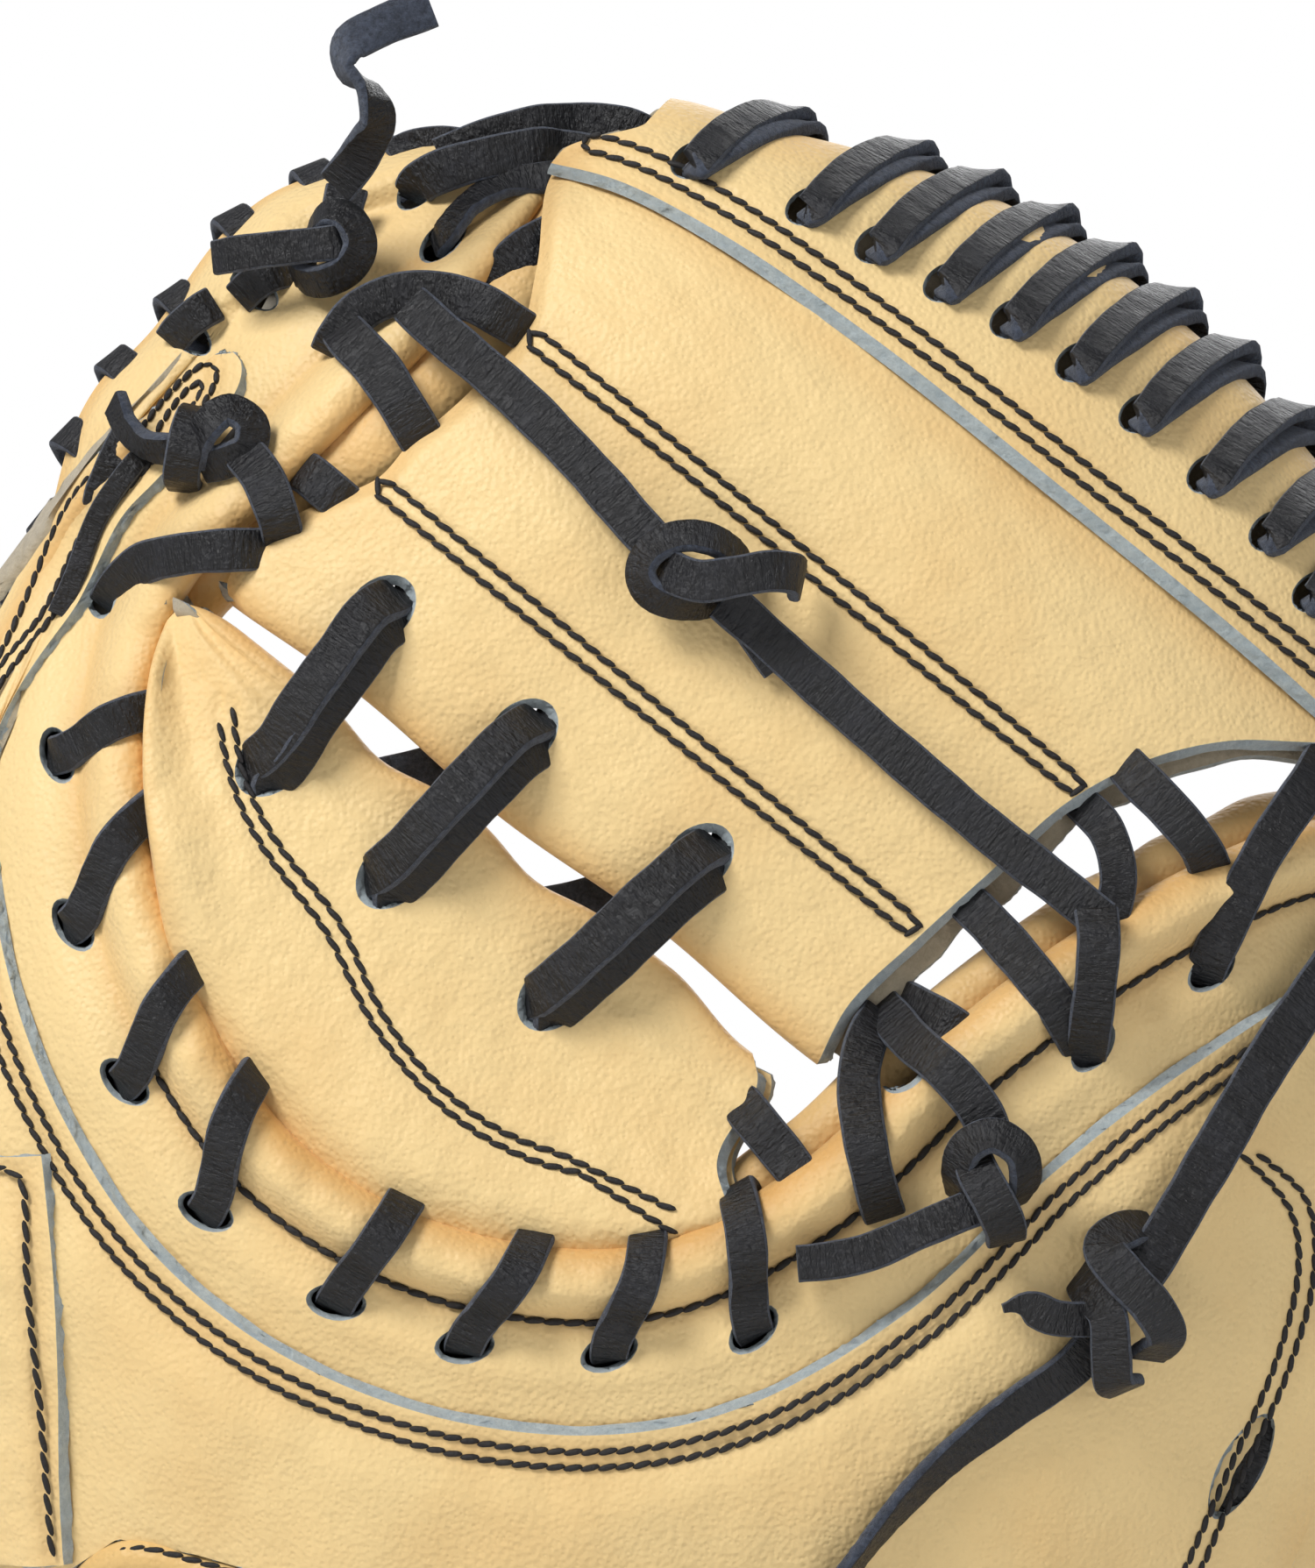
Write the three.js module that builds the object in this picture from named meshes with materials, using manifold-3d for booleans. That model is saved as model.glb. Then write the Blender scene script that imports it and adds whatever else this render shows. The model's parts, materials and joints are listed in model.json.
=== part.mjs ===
// A baseball catcher's mitt for the left hand, in millimetres, standing on its heel.
// +Z runs from the heel to the fingertips, -Y is the back of the hand, +Y is the pocket,
// +X is the thumb side. The origin is the middle of the overall width and depth, at the height
// of the heel's resting face.
import * as THREE from "three";
import { mergeVertices } from "three/addons/utils/BufferGeometryUtils.js";
import Module from "manifold-3d";

const wasm = await Module();
wasm.setup();

// ---------- driving dimensions ----------
// The shapes are worked out round an axis of their own, and the whole mitt is moved at the end.
const MIDDLE_X = 3.5; // middle of the overall width
const MIDDLE_Y = -14; // middle of the overall depth
const CENTRE_Z = 147; // height of the middle of the round outline
// Radius of the outline round that middle, by compass angle (0 = thumb side, 90 = up).
const RIM_ANGLES = [0, 30, 60, 90, 112, 128, 144, 164, 190, 210, 232, 251, 289, 307, 328, 345];
const RIM_RADII = [137, 137, 136, 139, 138, 127, 115, 121, 132, 143, 160, 172, 172, 160, 149, 140];

const WEB_X = 20; // origin of the web's own axes: s runs along the web, t out towards its top
const WEB_Z = 190;
const WEB_TILT = THREE.MathUtils.degToRad(38);
// The crotch: the U-shaped inner edge of the padded leather, in (s, t), finger tip to thumb tip.
const CROTCH = [
  [-75, 52], [-73, 22], [-77, -14], [-79, -40], [-66, -63], [-42, -82], [-14, -91],
  [14, -86], [36, -71], [47, -48], [52, -18], [62, 14], [78, 42], [98, 57],
];
const RIM_FROM = 94; // compass angle of the rim beside the web's finger end
const RIM_TO = 373; // and beside its thumb end

const LEATHER = 2.4; // leather thickness
const GAP = 0.4; // space between two layers
const OVER = 1.2; // space under a piece that lies over another on a curve
const EDGE_DEPTH = 14; // back leather to pocket leather at the crotch
const PAD_RISE = 46; // how far the padded rim stands over the pocket
const PAD_PEAK = 28; // from the rim to the pad's highest line
const HAND_ROOM = 24; // depth of the space for the hand

const FOLD_TILT = THREE.MathUtils.degToRad(15.2); // the fold line leans towards the thumb
const FOLD_Y = -34; // depth of the fold line
const FOLD_RELIEF = THREE.MathUtils.degToRad(15); // each side of the crease is cut back by this

const LACE_WIDTH = 6.4;
const LACE_THICK = 1.8;
const LACE_ROOM = 0.9; // clearance of a lace in its hole
const STEPS_PER_TURN = 6; // straight pieces in one turn of a whipped lace

const COLOURS = {
  leather: [0xe8ca94, 0.55],
  binding: [0xe0bd80, 0.5],
  lace: [0x1b191c, 0.6],
  felt: [0xd8d2c4, 0.95],
  lining: [0xd9b57c, 0.8],
  fleece: [0x2a2a2e, 0.95],
  ring: [0x25262a, 0.4],
};

// ---------- plan curves ----------
const smooth = (a, b, x) => THREE.MathUtils.smoothstep(x, a, b);
const lerp = THREE.MathUtils.lerp;

function webPlan(s, t) {
  const c = Math.cos(WEB_TILT);
  const k = Math.sin(WEB_TILT);
  return [WEB_X + s * c + t * k, WEB_Z - s * k + t * c];
}

// Outline radius: a cosine ease between the listed angles.
function rimRadius(degrees) {
  const a = ((degrees % 360) + 360) % 360;
  const n = RIM_ANGLES.length;
  for (let i = 0; i < n; i++) {
    const from = RIM_ANGLES[i];
    const to = i + 1 < n ? RIM_ANGLES[i + 1] : 360;
    if (a >= from && a < to) {
      const k = (a - from) / (to - from);
      return lerp(RIM_RADII[i], RIM_RADII[(i + 1) % n], (1 - Math.cos(Math.PI * k)) / 2);
    }
  }
  return RIM_RADII[0];
}

function rimPlan(degrees, inset = 0) {
  const a = THREE.MathUtils.degToRad(degrees);
  const r = rimRadius(degrees) - inset;
  return [r * Math.cos(a), CENTRE_Z + r * Math.sin(a)];
}

const crotchCurve = new THREE.CatmullRomCurve3(
  CROTCH.map(([s, t]) => {
    const [x, z] = webPlan(s, t);
    return new THREE.Vector3(x, 0, z);
  }),
);

// A point of the crotch edge moved out into the leather by `offset`.
function crotchPlan(u, offset = 0) {
  const p = crotchCurve.getPointAt(u);
  const d = crotchCurve.getTangentAt(u);
  return [p.x - d.z * -offset, p.z + d.x * -offset];
}

// The padded ring between the crotch edge (v = 0) and the rim (v = 1).
function ringPlan(u, v) {
  const [ax, az] = crotchPlan(u);
  const [bx, bz] = rimPlan(lerp(RIM_FROM, RIM_TO, u));
  return [lerp(ax, bx, v), lerp(az, bz, v)];
}

// ---------- surfaces ----------
function rimShare(x, z) {
  const angle = THREE.MathUtils.radToDeg(Math.atan2(z - CENTRE_Z, x));
  return Math.hypot(x, z - CENTRE_Z) / rimRadius(angle);
}

// The back of the mitt is a low dome that turns forward at the rim.
function backY(x, z) {
  return -54 + 50 * rimShare(x, z) ** 3;
}

function webY(x, z) {
  return -47 + 36 * rimShare(x, z) ** 4;
}

function backPoint(u, v) {
  const [x, z] = ringPlan(u, v);
  return new THREE.Vector3(x, backY(x, z), z);
}

// The pocket side: a thin edge at the crotch, a shallow palm, a thick padded rim.
function frontPoint(u, v) {
  const [x, z] = ringPlan(u, v);
  const [ax, az] = ringPlan(u, 0);
  const [bx, bz] = ringPlan(u, 1);
  const width = Math.hypot(bx - ax, bz - az);
  const edge = backY(ax, az) + EDGE_DEPTH;
  const palm = lerp(edge, -14, smooth(0, 38, v * width));
  const base = lerp(palm, 2, smooth(0.55, 1, v));
  const peak = Math.max(0.42, 1 - PAD_PEAK / width);
  const rise = PAD_RISE * smooth(6, 46, width);
  const bump = rise * Math.sin(Math.PI * v ** (Math.log(0.5) / Math.log(peak)));
  return new THREE.Vector3(x, base + bump, z);
}

// How much of the hand's room lies behind a point, 0 to 1.
function handRoom(x, z) {
  const side = smooth(-92, -74, x) * (1 - smooth(44, 62, x));
  return side * (1 - smooth(76, 104, z));
}

function normalOf(surface, u, v) {
  const step = 0.004;
  const a = surface(Math.min(1, u + step), v).sub(surface(Math.max(0, u - step), v));
  const b = surface(u, Math.min(1, v + step)).sub(surface(u, Math.max(0, v - step)));
  return a.cross(b).normalize();
}

// ---------- solids ----------
// A closed mesh as a solid, with its faces turned outwards.
function toSolid(geometry) {
  const plain = geometry.clone();
  plain.deleteAttribute("normal");
  plain.deleteAttribute("uv");
  const merged = mergeVertices(plain, 1e-3);
  const index = new Uint32Array(merged.index.array);
  const xyz = merged.attributes.position.array;
  let volume = 0;
  const corner = [0, 1, 2].map(() => new THREE.Vector3());
  for (let i = 0; i < index.length; i += 3) {
    corner.forEach((c, k) => c.fromArray(xyz, 3 * index[i + k]));
    volume += corner[0].dot(corner[1].clone().cross(corner[2]));
  }
  if (volume < 0) {
    for (let i = 0; i < index.length; i += 3) {
      const first = index[i];
      index[i] = index[i + 1];
      index[i + 1] = first;
    }
  }
  return new wasm.Manifold(new wasm.Mesh({ numProp: 3, vertProperties: xyz, triVerts: index }));
}

function toGeometry(solid) {
  const m = solid.getMesh();
  const g = new THREE.BufferGeometry();
  const xyz = new Float32Array(m.numVert * 3);
  for (let i = 0; i < m.numVert; i++) {
    xyz.set(m.vertProperties.subarray(i * m.numProp, i * m.numProp + 3), i * 3);
  }
  g.setAttribute("position", new THREE.BufferAttribute(xyz, 3));
  g.setIndex(new THREE.BufferAttribute(new Uint32Array(m.triVerts), 1));
  g.computeVertexNormals();
  return g;
}

function largest(solid) {
  return solid.decompose().reduce((a, b) => (b.volume() > a.volume() ? b : a));
}

// A box of nu by nv by nw cells whose points are placed by a function of (u, v, w).
function warpedBox(nu, nv, nw, place) {
  const g = new THREE.BoxGeometry(1, 1, 1, nu, nv, nw);
  const p = g.attributes.position;
  for (let i = 0; i < p.count; i++) {
    const at = place(p.getX(i) + 0.5, p.getY(i) + 0.5, p.getZ(i) + 0.5);
    p.setXYZ(i, at.x, at.y, at.z);
  }
  return toSolid(g);
}

// A sheet that follows surface(u, v), from `near` to `far` along the outward normal.
// `side` is -1 for a surface seen from the back and 1 for one seen from the pocket.
function sheet(surface, side, near, far, nu, nv, floor = null) {
  return warpedBox(nu, nv, 1, (u, v, w) => {
    const p = surface(u, v);
    const n = normalOf(surface, u, v);
    if (n.y * side < 0) n.negate();
    p.addScaledVector(n, lerp(near, far, w));
    if (floor) p.z = Math.max(p.z, lerp(floor[0], floor[1], w));
    return p;
  });
}

// A flat lace along a path, lying with its face towards `facing(k, direction of the path)`.
function ribbon(path, facing, width, thick, count) {
  return warpedBox(count, 1, 1, (u, v, w) => {
    const p = path(u);
    const ahead = path(Math.min(1, u + 0.002));
    const behind = path(Math.max(0, u - 0.002));
    const along = ahead.sub(behind).normalize();
    const across = along.clone().cross(facing(u, along)).normalize();
    const up = across.clone().cross(along);
    return p.addScaledVector(across, (v - 0.5) * width).addScaledVector(up, (w - 0.5) * thick);
  });
}

// A lace and the room it needs, as [solid, cutter].
function lace(path, facing, count, width = LACE_WIDTH) {
  const room = 2 * LACE_ROOM;
  return [
    ribbon(path, facing, width, LACE_THICK, count),
    ribbon(path, facing, width + room, LACE_THICK + room, count),
  ];
}

function curveLace(points, facing, count, width) {
  const curve = new THREE.CatmullRomCurve3(points.map((p) => new THREE.Vector3(...p)));
  return lace((u) => curve.getPointAt(u), facing, count, width);
}

// A lace whipped round an edge: turns of a flattened coil along edge(k), k from 0 to 1, whose
// centre lies `inset` along the edge's `into` direction and whose half sizes are reach and rise.
function whip(edge, turns, inset, reach, rise) {
  const at = (u) => {
    const angle = 2 * Math.PI * turns * u;
    const { point, into, out } = edge(u);
    const centre = point.clone().addScaledVector(into, inset);
    const round = into.clone().multiplyScalar(reach * Math.cos(angle));
    return { centre, round: round.addScaledVector(out, rise * Math.sin(angle)), into, out, angle };
  };
  const path = (u) => {
    const { centre, round } = at(u);
    return centre.add(round);
  };
  const facing = (u) => {
    const { into, out, angle } = at(u);
    const a = into.clone().multiplyScalar(Math.cos(angle) / reach);
    return a.addScaledVector(out, Math.sin(angle) / rise).normalize();
  };
  return lace(path, facing, STEPS_PER_TURN * turns);
}

// An overhand knot that lies flat on the back, its middle `height` above the leather.
function knot(x, z, height, turn, size = 6) {
  const g = new THREE.TorusKnotGeometry(size, size * 0.42, 26, 5, 2, 3);
  g.scale(1, 1, 0.8);
  g.rotateZ(turn);
  const slopeX = backY(x + 1, z) - backY(x - 1, z);
  const slopeZ = backY(x, z + 1) - backY(x, z - 1);
  const out = new THREE.Vector3(slopeX / 2, -1, slopeZ / 2).normalize();
  g.applyQuaternion(new THREE.Quaternion().setFromUnitVectors(new THREE.Vector3(0, 0, 1), out));
  const at = new THREE.Vector3(x, backY(x, z), z).addScaledVector(out, height);
  g.translate(at.x, at.y, at.z);
  return toSolid(g);
}

// A rolled edge: a round cord along a curve.
function cord(points, radius, steps) {
  const section = new THREE.Shape();
  section.absarc(0, 0, radius, 0, 2 * Math.PI);
  const curve = new THREE.CatmullRomCurve3(points);
  return toSolid(
    new THREE.ExtrudeGeometry(section, { steps, curveSegments: 3, extrudePath: curve }),
  );
}

// ---------- the fold ----------
// The space on one side of the fold line, cut back in front of it so that the crease can close.
const FOLD_GAP = 0.3; // each side's distance from the fold
function foldSpace(side) {
  const far = 400;
  const deep = 160;
  const relief = (deep - FOLD_Y) * Math.tan(FOLD_RELIEF);
  const shape = new THREE.Shape();
  shape.moveTo(side * FOLD_GAP, -deep);
  shape.lineTo(side * FOLD_GAP, FOLD_Y);
  shape.lineTo(side * (FOLD_GAP + relief), deep);
  shape.lineTo(side * far, deep);
  shape.lineTo(side * far, -deep);
  const g = new THREE.ExtrudeGeometry(shape, { depth: 2 * far, bevelEnabled: false });
  g.translate(0, 0, -far);
  const across = new THREE.Vector3(Math.cos(FOLD_TILT), 0, -Math.sin(FOLD_TILT));
  const along = new THREE.Vector3(Math.sin(FOLD_TILT), 0, Math.cos(FOLD_TILT));
  g.applyMatrix4(new THREE.Matrix4().makeBasis(across, new THREE.Vector3(0, 1, 0), along));
  return toSolid(g);
}

const fingerSpace = foldSpace(-1);
const thumbSpace = foldSpace(1);

// ---------- the padded glove ----------
// The space under the wrist strap and the arch above it, where the hand goes in.
function handOpening(margin = 0) {
  const s = new THREE.Shape();
  s.moveTo(-80 - margin, -40);
  s.lineTo(-84 - margin, 52);
  s.quadraticCurveTo(-84 - margin, 66 + margin, -72, 66 + margin);
  s.quadraticCurveTo(-10, 60 + margin, 40, 58 + margin);
  s.quadraticCurveTo(56 + margin, 56 + margin, 56 + margin, 40);
  s.lineTo(54 + margin, -40);
  const g = new THREE.ExtrudeGeometry(s, { depth: 120, bevelEnabled: false, curveSegments: 4 });
  g.rotateX(Math.PI / 2);
  g.translate(0, 20, 0);
  return toSolid(g);
}

function backLeather() {
  return sheet(backPoint, -1, -LEATHER, 0, 32, 5, [LEATHER, 0]).subtract(handOpening());
}

// The outer back piece: from its U-shaped cut edge round the crotch out to the rim.
const OVERLAY_FROM = 0.13;
const OVERLAY_TO = 0.985;
function overlayPoint(u, v) {
  const k = lerp(OVERLAY_FROM, OVERLAY_TO, u);
  const offset = 26 - 3 * (1 - smooth(0, 0.25, u)) - 2 * smooth(0.75, 1, u);
  const [ax, az] = crotchPlan(k, offset);
  const [bx, bz] = rimPlan(lerp(RIM_FROM, RIM_TO, k), 16);
  const reach = lerp(0.25, 1, smooth(0, 0.22, u));
  const x = lerp(ax, lerp(ax, bx, reach), v);
  const z = lerp(az, lerp(az, bz, reach), v);
  return new THREE.Vector3(x, backY(x, z), z);
}

function backOverlay() {
  return sheet(overlayPoint, -1, OVER, OVER + LEATHER, 32, 4, [GAP, GAP]).subtract(handOpening(3));
}

function palmLeather() {
  return sheet(frontPoint, 1, -LEATHER, 0, 32, 9, [LEATHER, 0]);
}

// The felt between the pocket leather and the back, hollowed for the hand.
function feltFaces(u, v) {
  const front = frontPoint(u, v);
  const inwards = normalOf(frontPoint, u, v);
  if (inwards.y > 0) inwards.negate();
  front.addScaledVector(inwards, LEATHER + 3 * OVER);
  const back = backPoint(u, v);
  const forwards = normalOf(backPoint, u, v);
  if (forwards.y < 0) forwards.negate();
  back.addScaledVector(forwards, LEATHER + OVER);
  back.y = Math.min(back.y + HAND_ROOM * handRoom(back.x, back.z), front.y - 3);
  return [back, front];
}

function feltRing() {
  const back = sheet(backPoint, -1, -LEATHER - OVER, LEATHER, 32, 5, [LEATHER, 0]);
  const felt = warpedBox(24, 6, 1, (u, v, w) => {
    const k = lerp(0.12, 0.92, u);
    const [ax, az] = ringPlan(k, 0);
    const [bx, bz] = ringPlan(k, 1);
    const width = Math.hypot(bx - ax, bz - az);
    const inner = Math.min(0.45, 21 / width);
    const outer = Math.max(0.55, 1 - 16 / width);
    const [behind, front] = feltFaces(k, lerp(inner, outer, v));
    const p = behind.lerp(front, w);
    p.z = Math.max(p.z, LEATHER + GAP);
    return p;
  });
  return felt.subtract(back);
}

// The soft leather that the palm of the hand lies on.
function handLining() {
  return warpedBox(8, 5, 1, (u, v, w) => {
    const x = lerp(-66, 34, u);
    const z = lerp(26, 70, v);
    const floor = backY(x, z) + HAND_ROOM;
    return new THREE.Vector3(x, floor - lerp(0, 1.6, w), z);
  });
}

// The rolled edges along the crotch, behind the web and on the pocket side.
function crotchRoll(offset, depth, radius) {
  const points = [];
  for (let i = 0; i <= 24; i++) {
    const u = lerp(0.02, 0.98, i / 24);
    const [x, z] = crotchPlan(u, offset);
    points.push(new THREE.Vector3(x, backY(x, z) + depth, z));
  }
  return cord(points, radius, 36);
}

function indexFingerPad() {
  const surface = (u, v) => {
    const x = lerp(-121, -85, u) + 3 * v;
    const z = lerp(123, 64, v);
    return new THREE.Vector3(x, backY(x, z), z);
  };
  return sheet(surface, -1, LEATHER + 2 * OVER, LEATHER + 2 * OVER + 4, 5, 7);
}

// The binding round the hand opening.
function openingBinding() {
  const plan = [
    [-77, 14], [-79, 34], [-80, 52], [-72, 62], [-40, 59.5],
    [10, 56], [40, 54], [51, 48], [52, 34], [50, 14],
  ];
  const points = plan.map(([x, z]) => new THREE.Vector3(x, backY(x, z) - 1, z));
  return cord(points, 2, 30);
}

// ---------- the web ----------
const MOON_FROM = 0.27; // where the half-moon panel starts and ends along the crotch
const MOON_TO = 0.62;
const PANEL_LOW = -33;
const PANEL_HIGH = 60;

function webPoint(s, t, depth = 0) {
  const [x, z] = webPlan(s, t);
  return new THREE.Vector3(x, webY(x, z) + depth, z);
}

// The right edge of the main panel runs straight up and then flares out to the thumb.
function panelRight(t) {
  const k = Math.min(1, Math.max(0, (t - PANEL_LOW) / (PANEL_HIGH - 2 - PANEL_LOW)));
  return 41 + 50 * k ** 5;
}

function mainPanel(near) {
  const surface = (u, v) => {
    const t = lerp(PANEL_LOW, PANEL_HIGH, v);
    return webPoint(lerp(-69, panelRight(t), u), t);
  };
  return sheet(surface, -1, near - LEATHER, near, 12, 8);
}

// The half-moon panel: its straight edge faces the main panel, its round one follows the crotch.
function halfMoon() {
  const surface = (u, v) => {
    const [x, z] = crotchPlan(lerp(MOON_FROM, MOON_TO, u), -2);
    const [tx, tz] = webPlan(lerp(-74, 34, u), -37);
    const px = lerp(tx, x, v);
    const pz = lerp(tz, z, v);
    return new THREE.Vector3(px, webY(px, pz), pz);
  };
  return sheet(surface, -1, -LEATHER, 0, 12, 4);
}

// The web's top edge is an arc of a circle.
const TOP_RADIUS = 137;
const TOP_MIDDLE = [11, -47]; // its middle, in (s, t)
function webTop(s) {
  return Math.sqrt(TOP_RADIUS ** 2 - (s - TOP_MIDDLE[0]) ** 2) + TOP_MIDDLE[1];
}

// The band folded over the web's top edge: v runs up the back and down the pocket side.
const BAND_FROM = -73;
const BAND_TO = 88;
const BAND_LOW = 54; // height of its cut edge
function topBand() {
  const middle = LEATHER + GAP / 2; // half the thickness of the two panels inside
  const spread = middle + 0.8 + LEATHER / 2;
  return warpedBox(16, 8, 1, (u, v, w) => {
    const s = lerp(BAND_FROM, BAND_TO, u);
    const top = webTop(s) - spread;
    const low = Math.min(BAND_LOW, top - 4);
    const turn = Math.PI * smooth(0.3, 0.7, v);
    const t = lerp(low, top, Math.min(1, Math.min(v, 1 - v) / 0.3));
    const surface = (a, b) => webPoint(lerp(BAND_FROM, BAND_TO, a), lerp(0, 90, b));
    const outwards = normalOf(surface, u, t / 90);
    if (outwards.y > 0) outwards.negate();
    const along = new THREE.Vector3(Math.cos(WEB_TILT), 0, -Math.sin(WEB_TILT));
    const upwards = outwards.clone().cross(along);
    const reach = spread + lerp(-LEATHER / 2, LEATHER / 2, w);
    const p = webPoint(s, t).addScaledVector(outwards, reach * Math.cos(turn) - middle);
    return p.addScaledVector(upwards.normalize(), reach * Math.sin(turn));
  });
}

// ---------- laces ----------
const BACK = new THREE.Vector3(0, -1, 0);
const toBack = () => BACK;

function crotchEdge(from, to) {
  return (k) => {
    const u = lerp(from, to, k);
    const [x, z] = crotchPlan(u, 8);
    const [ox, oz] = crotchPlan(u, 12);
    const into = new THREE.Vector3(ox - x, 0, oz - z).normalize();
    return { point: new THREE.Vector3(x, backY(x, z), z), into, out: BACK };
  };
}

function rimEdge(from, to) {
  return (k) => {
    const a = lerp(from, to, k);
    const [x, z] = rimPlan(a, 4);
    const into = new THREE.Vector3(-x, 0, CENTRE_Z - z).normalize();
    return { point: new THREE.Vector3(x, -5, z), into, out: BACK };
  };
}

function topEdge(from, to) {
  return (k) => {
    const s = lerp(from, to, k);
    const point = webPoint(s, webTop(s), 1);
    const into = new THREE.Vector3(-Math.sin(WEB_TILT), 0, -Math.cos(WEB_TILT));
    return { point, into, out: BACK };
  };
}

// The lace that joins the half-moon panel to the main panel in three loops.
function webJoiningLace() {
  const along = new THREE.Vector3(Math.cos(WEB_TILT), 0, -Math.sin(WEB_TILT));
  const path = [];
  for (const s of [-54, -26, 5]) {
    if (path.length) path.push([s - 12, -37, 12]);
    path.push([s + 2, -21, 9], [s + 1, -21, 0], [s, -25, -7], [s - 1, -36, -10]);
    path.push([s - 2, -47, -7], [s - 3, -51, 0], [s - 3, -51, 9]);
  }
  const points = path.map(([s, t, d]) => webPoint(s, t, d).toArray());
  return curveLace(points, (u, direction) => along.clone().cross(direction), 44);
}

// The flat lace tied across the web, on its finger side and on its thumb side of the fold.
function tieLace(plan) {
  return curveLace(plan.map(([s, t, d]) => webPoint(s, t, d).toArray()), toBack, 3 * plan.length);
}

// The long lace that runs down the thumb to its knot.
function thumbLace() {
  const plan = [[113, 146], [95, 129], [84, 114]];
  return curveLace(plan.map(([x, z]) => backAt(x, z, 11)), toBack, 6);
}

function thumbLaceTail() {
  const plan = [[66, 86], [58, 82], [48, 75], [36, 62]];
  return curveLace(plan.map(([x, z]) => backAt(x, z, 10)), toBack, 8);
}

function backAt(x, z, height) {
  return [x, backY(x, z) - height, z];
}

function looseTail() {
  const plan = [[-42, 275], [-41, 281], [-39, 287], [-33, 293], [-27, 299]];
  return curveLace(plan.map(([x, z]) => [x, -41, z]), toBack, 8)[0];
}

const crotchLace = (from, to, turns) => whip(crotchEdge(from, to), turns, 0, 10.5, 9.9);
const rimLace = (from, to, turns) => whip(rimEdge(from, to), turns, 2, 6, 7.5);
const topLace = (from, to, turns) => whip(topEdge(from, to), turns, 2.5, 7.5, 9);

const THREADED = {
  crotch_lace_finger_part: crotchLace(0.22, 0.62, 8),
  crotch_lace_thumb_part: crotchLace(0.715, 0.785, 2),
  web_lace_thumb_end: crotchLace(0.86, 0.95, 2),
  web_lace_finger_end: crotchLace(0.03, 0.2, 4),
  rim_lace_finger_part: rimLace(104, 240, 13),
  rim_lace_thumb_part: rimLace(300, 366, 7),
  web_top_lace_finger_part: topLace(-60, -14, 4),
  web_top_lace_thumb_part: topLace(10, 78, 6),
  web_joining_lace: webJoiningLace(),
  web_tie_lace_finger_part: tieLace([[-76, 19, -4], [-55, 18.5, -4], [-30, 16, -4]]),
  web_tie_lace_thumb_part: tieLace([[32, 9.5, -4], [46, 8.5, -5], [57, 8, -9], [65, 4, -11]]),
  web_tie_lace_middle: tieLace([[-8, 13, -4], [8, 11.5, -4], [17, 10.8, -4]]),
  long_thumb_lace: thumbLace(),
  long_thumb_lace_tail: thumbLaceTail(),
};

// ---------- wrist strap ----------
const STRAP_WIDTH = 26;
const STRAP_SWEEP = 12; // how far the strap's ends rise round the heel
const STRAP_LIFT = 7; // from the back leather's surface to the strap's inner face

function strapY(x) {
  return backY(x, STRAP_WIDTH + STRAP_SWEEP) - STRAP_LIFT;
}

// A flat band round the wrist from x = from to x = to, between two distances from the back.
function strapPart(from, to, near, far) {
  return warpedBox(8, 2, 1, (u, v, w) => {
    const x = lerp(from, to, u);
    const z = STRAP_SWEEP * smooth(50, 95, Math.abs(x)) + STRAP_WIDTH * v;
    return new THREE.Vector3(x, strapY(x) - lerp(near, far, w), z);
  });
}

const RING_X = -4; // middle of the ring that joins the strap's two halves
const RING_WIDE = 10;
const RING_BAR = 2.4; // width of the ring's bars

function strapRing() {
  const tall = STRAP_WIDTH / 2 + 3;
  const wide = RING_WIDE / 2;
  const outer = new THREE.Shape();
  outer.moveTo(-wide, -tall);
  outer.lineTo(wide, -tall);
  outer.lineTo(wide, tall);
  outer.lineTo(-wide, tall);
  const slot = new THREE.Path();
  slot.moveTo(RING_BAR - wide, RING_BAR - tall);
  slot.lineTo(RING_BAR - wide, tall - RING_BAR);
  slot.lineTo(wide - RING_BAR, tall - RING_BAR);
  slot.lineTo(wide - RING_BAR, RING_BAR - tall);
  outer.holes.push(slot);
  const g = new THREE.ExtrudeGeometry(outer, { depth: 2, bevelEnabled: false });
  g.rotateX(Math.PI / 2);
  g.translate(RING_X, strapY(RING_X) - 1, tall);
  return toSolid(g);
}

// ---------- loops inside the hand's room ----------
function fingerLoop(x, z, reach) {
  const y = backY(x, z) + HAND_ROOM - 6;
  const half = reach / 2;
  const points = [[x - reach, y, z], [x - half, y - 9, z], [x + half, y - 9, z], [x + reach, y, z]];
  return curveLace(points, toBack, 8)[0];
}

// ---------- assembly ----------
const mitt = new THREE.Group();
const leatherNodes = [];

function add(name, solid, look) {
  const [color, roughness] = COLOURS[look];
  const metalness = look === "ring" ? 0.6 : 0;
  const material = new THREE.MeshStandardMaterial({ color, roughness, metalness });
  const mesh = new THREE.Mesh(toGeometry(solid), material);
  mesh.name = name;
  mitt.add(mesh);
}

// Leather is pierced wherever a lace passes.
function addLeather(name, solid, look) {
  leatherNodes.push({ name, solid, look });
}

function addBothSides(name, solid, look) {
  addLeather(`${name}_finger_part`, solid.intersect(fingerSpace), look);
  addLeather(`${name}_thumb_part`, solid.intersect(thumbSpace), look);
}

addBothSides("back_leather", backLeather(), "leather");
addBothSides("back_overlay", backOverlay(), "leather");
addBothSides("palm_leather", palmLeather(), "leather");
addBothSides("felt_pad", feltRing(), "felt");
addBothSides("web_main_panel", mainPanel(0), "leather");
addBothSides("web_inner_panel", mainPanel(-LEATHER - GAP), "leather");
addBothSides("web_top_band", topBand(), "leather");
addBothSides("hand_lining", handLining(), "lining");
addBothSides("crotch_roll", crotchRoll(3.2, -4.6, 3.1), "leather");
addBothSides("pocket_roll", crotchRoll(-3.4, EDGE_DEPTH - 2, 2.6), "leather");
addBothSides("opening_binding", openingBinding(), "binding");
addLeather("half_moon_panel", halfMoon(), "leather");
addLeather("index_finger_pad", indexFingerPad(), "leather");

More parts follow.
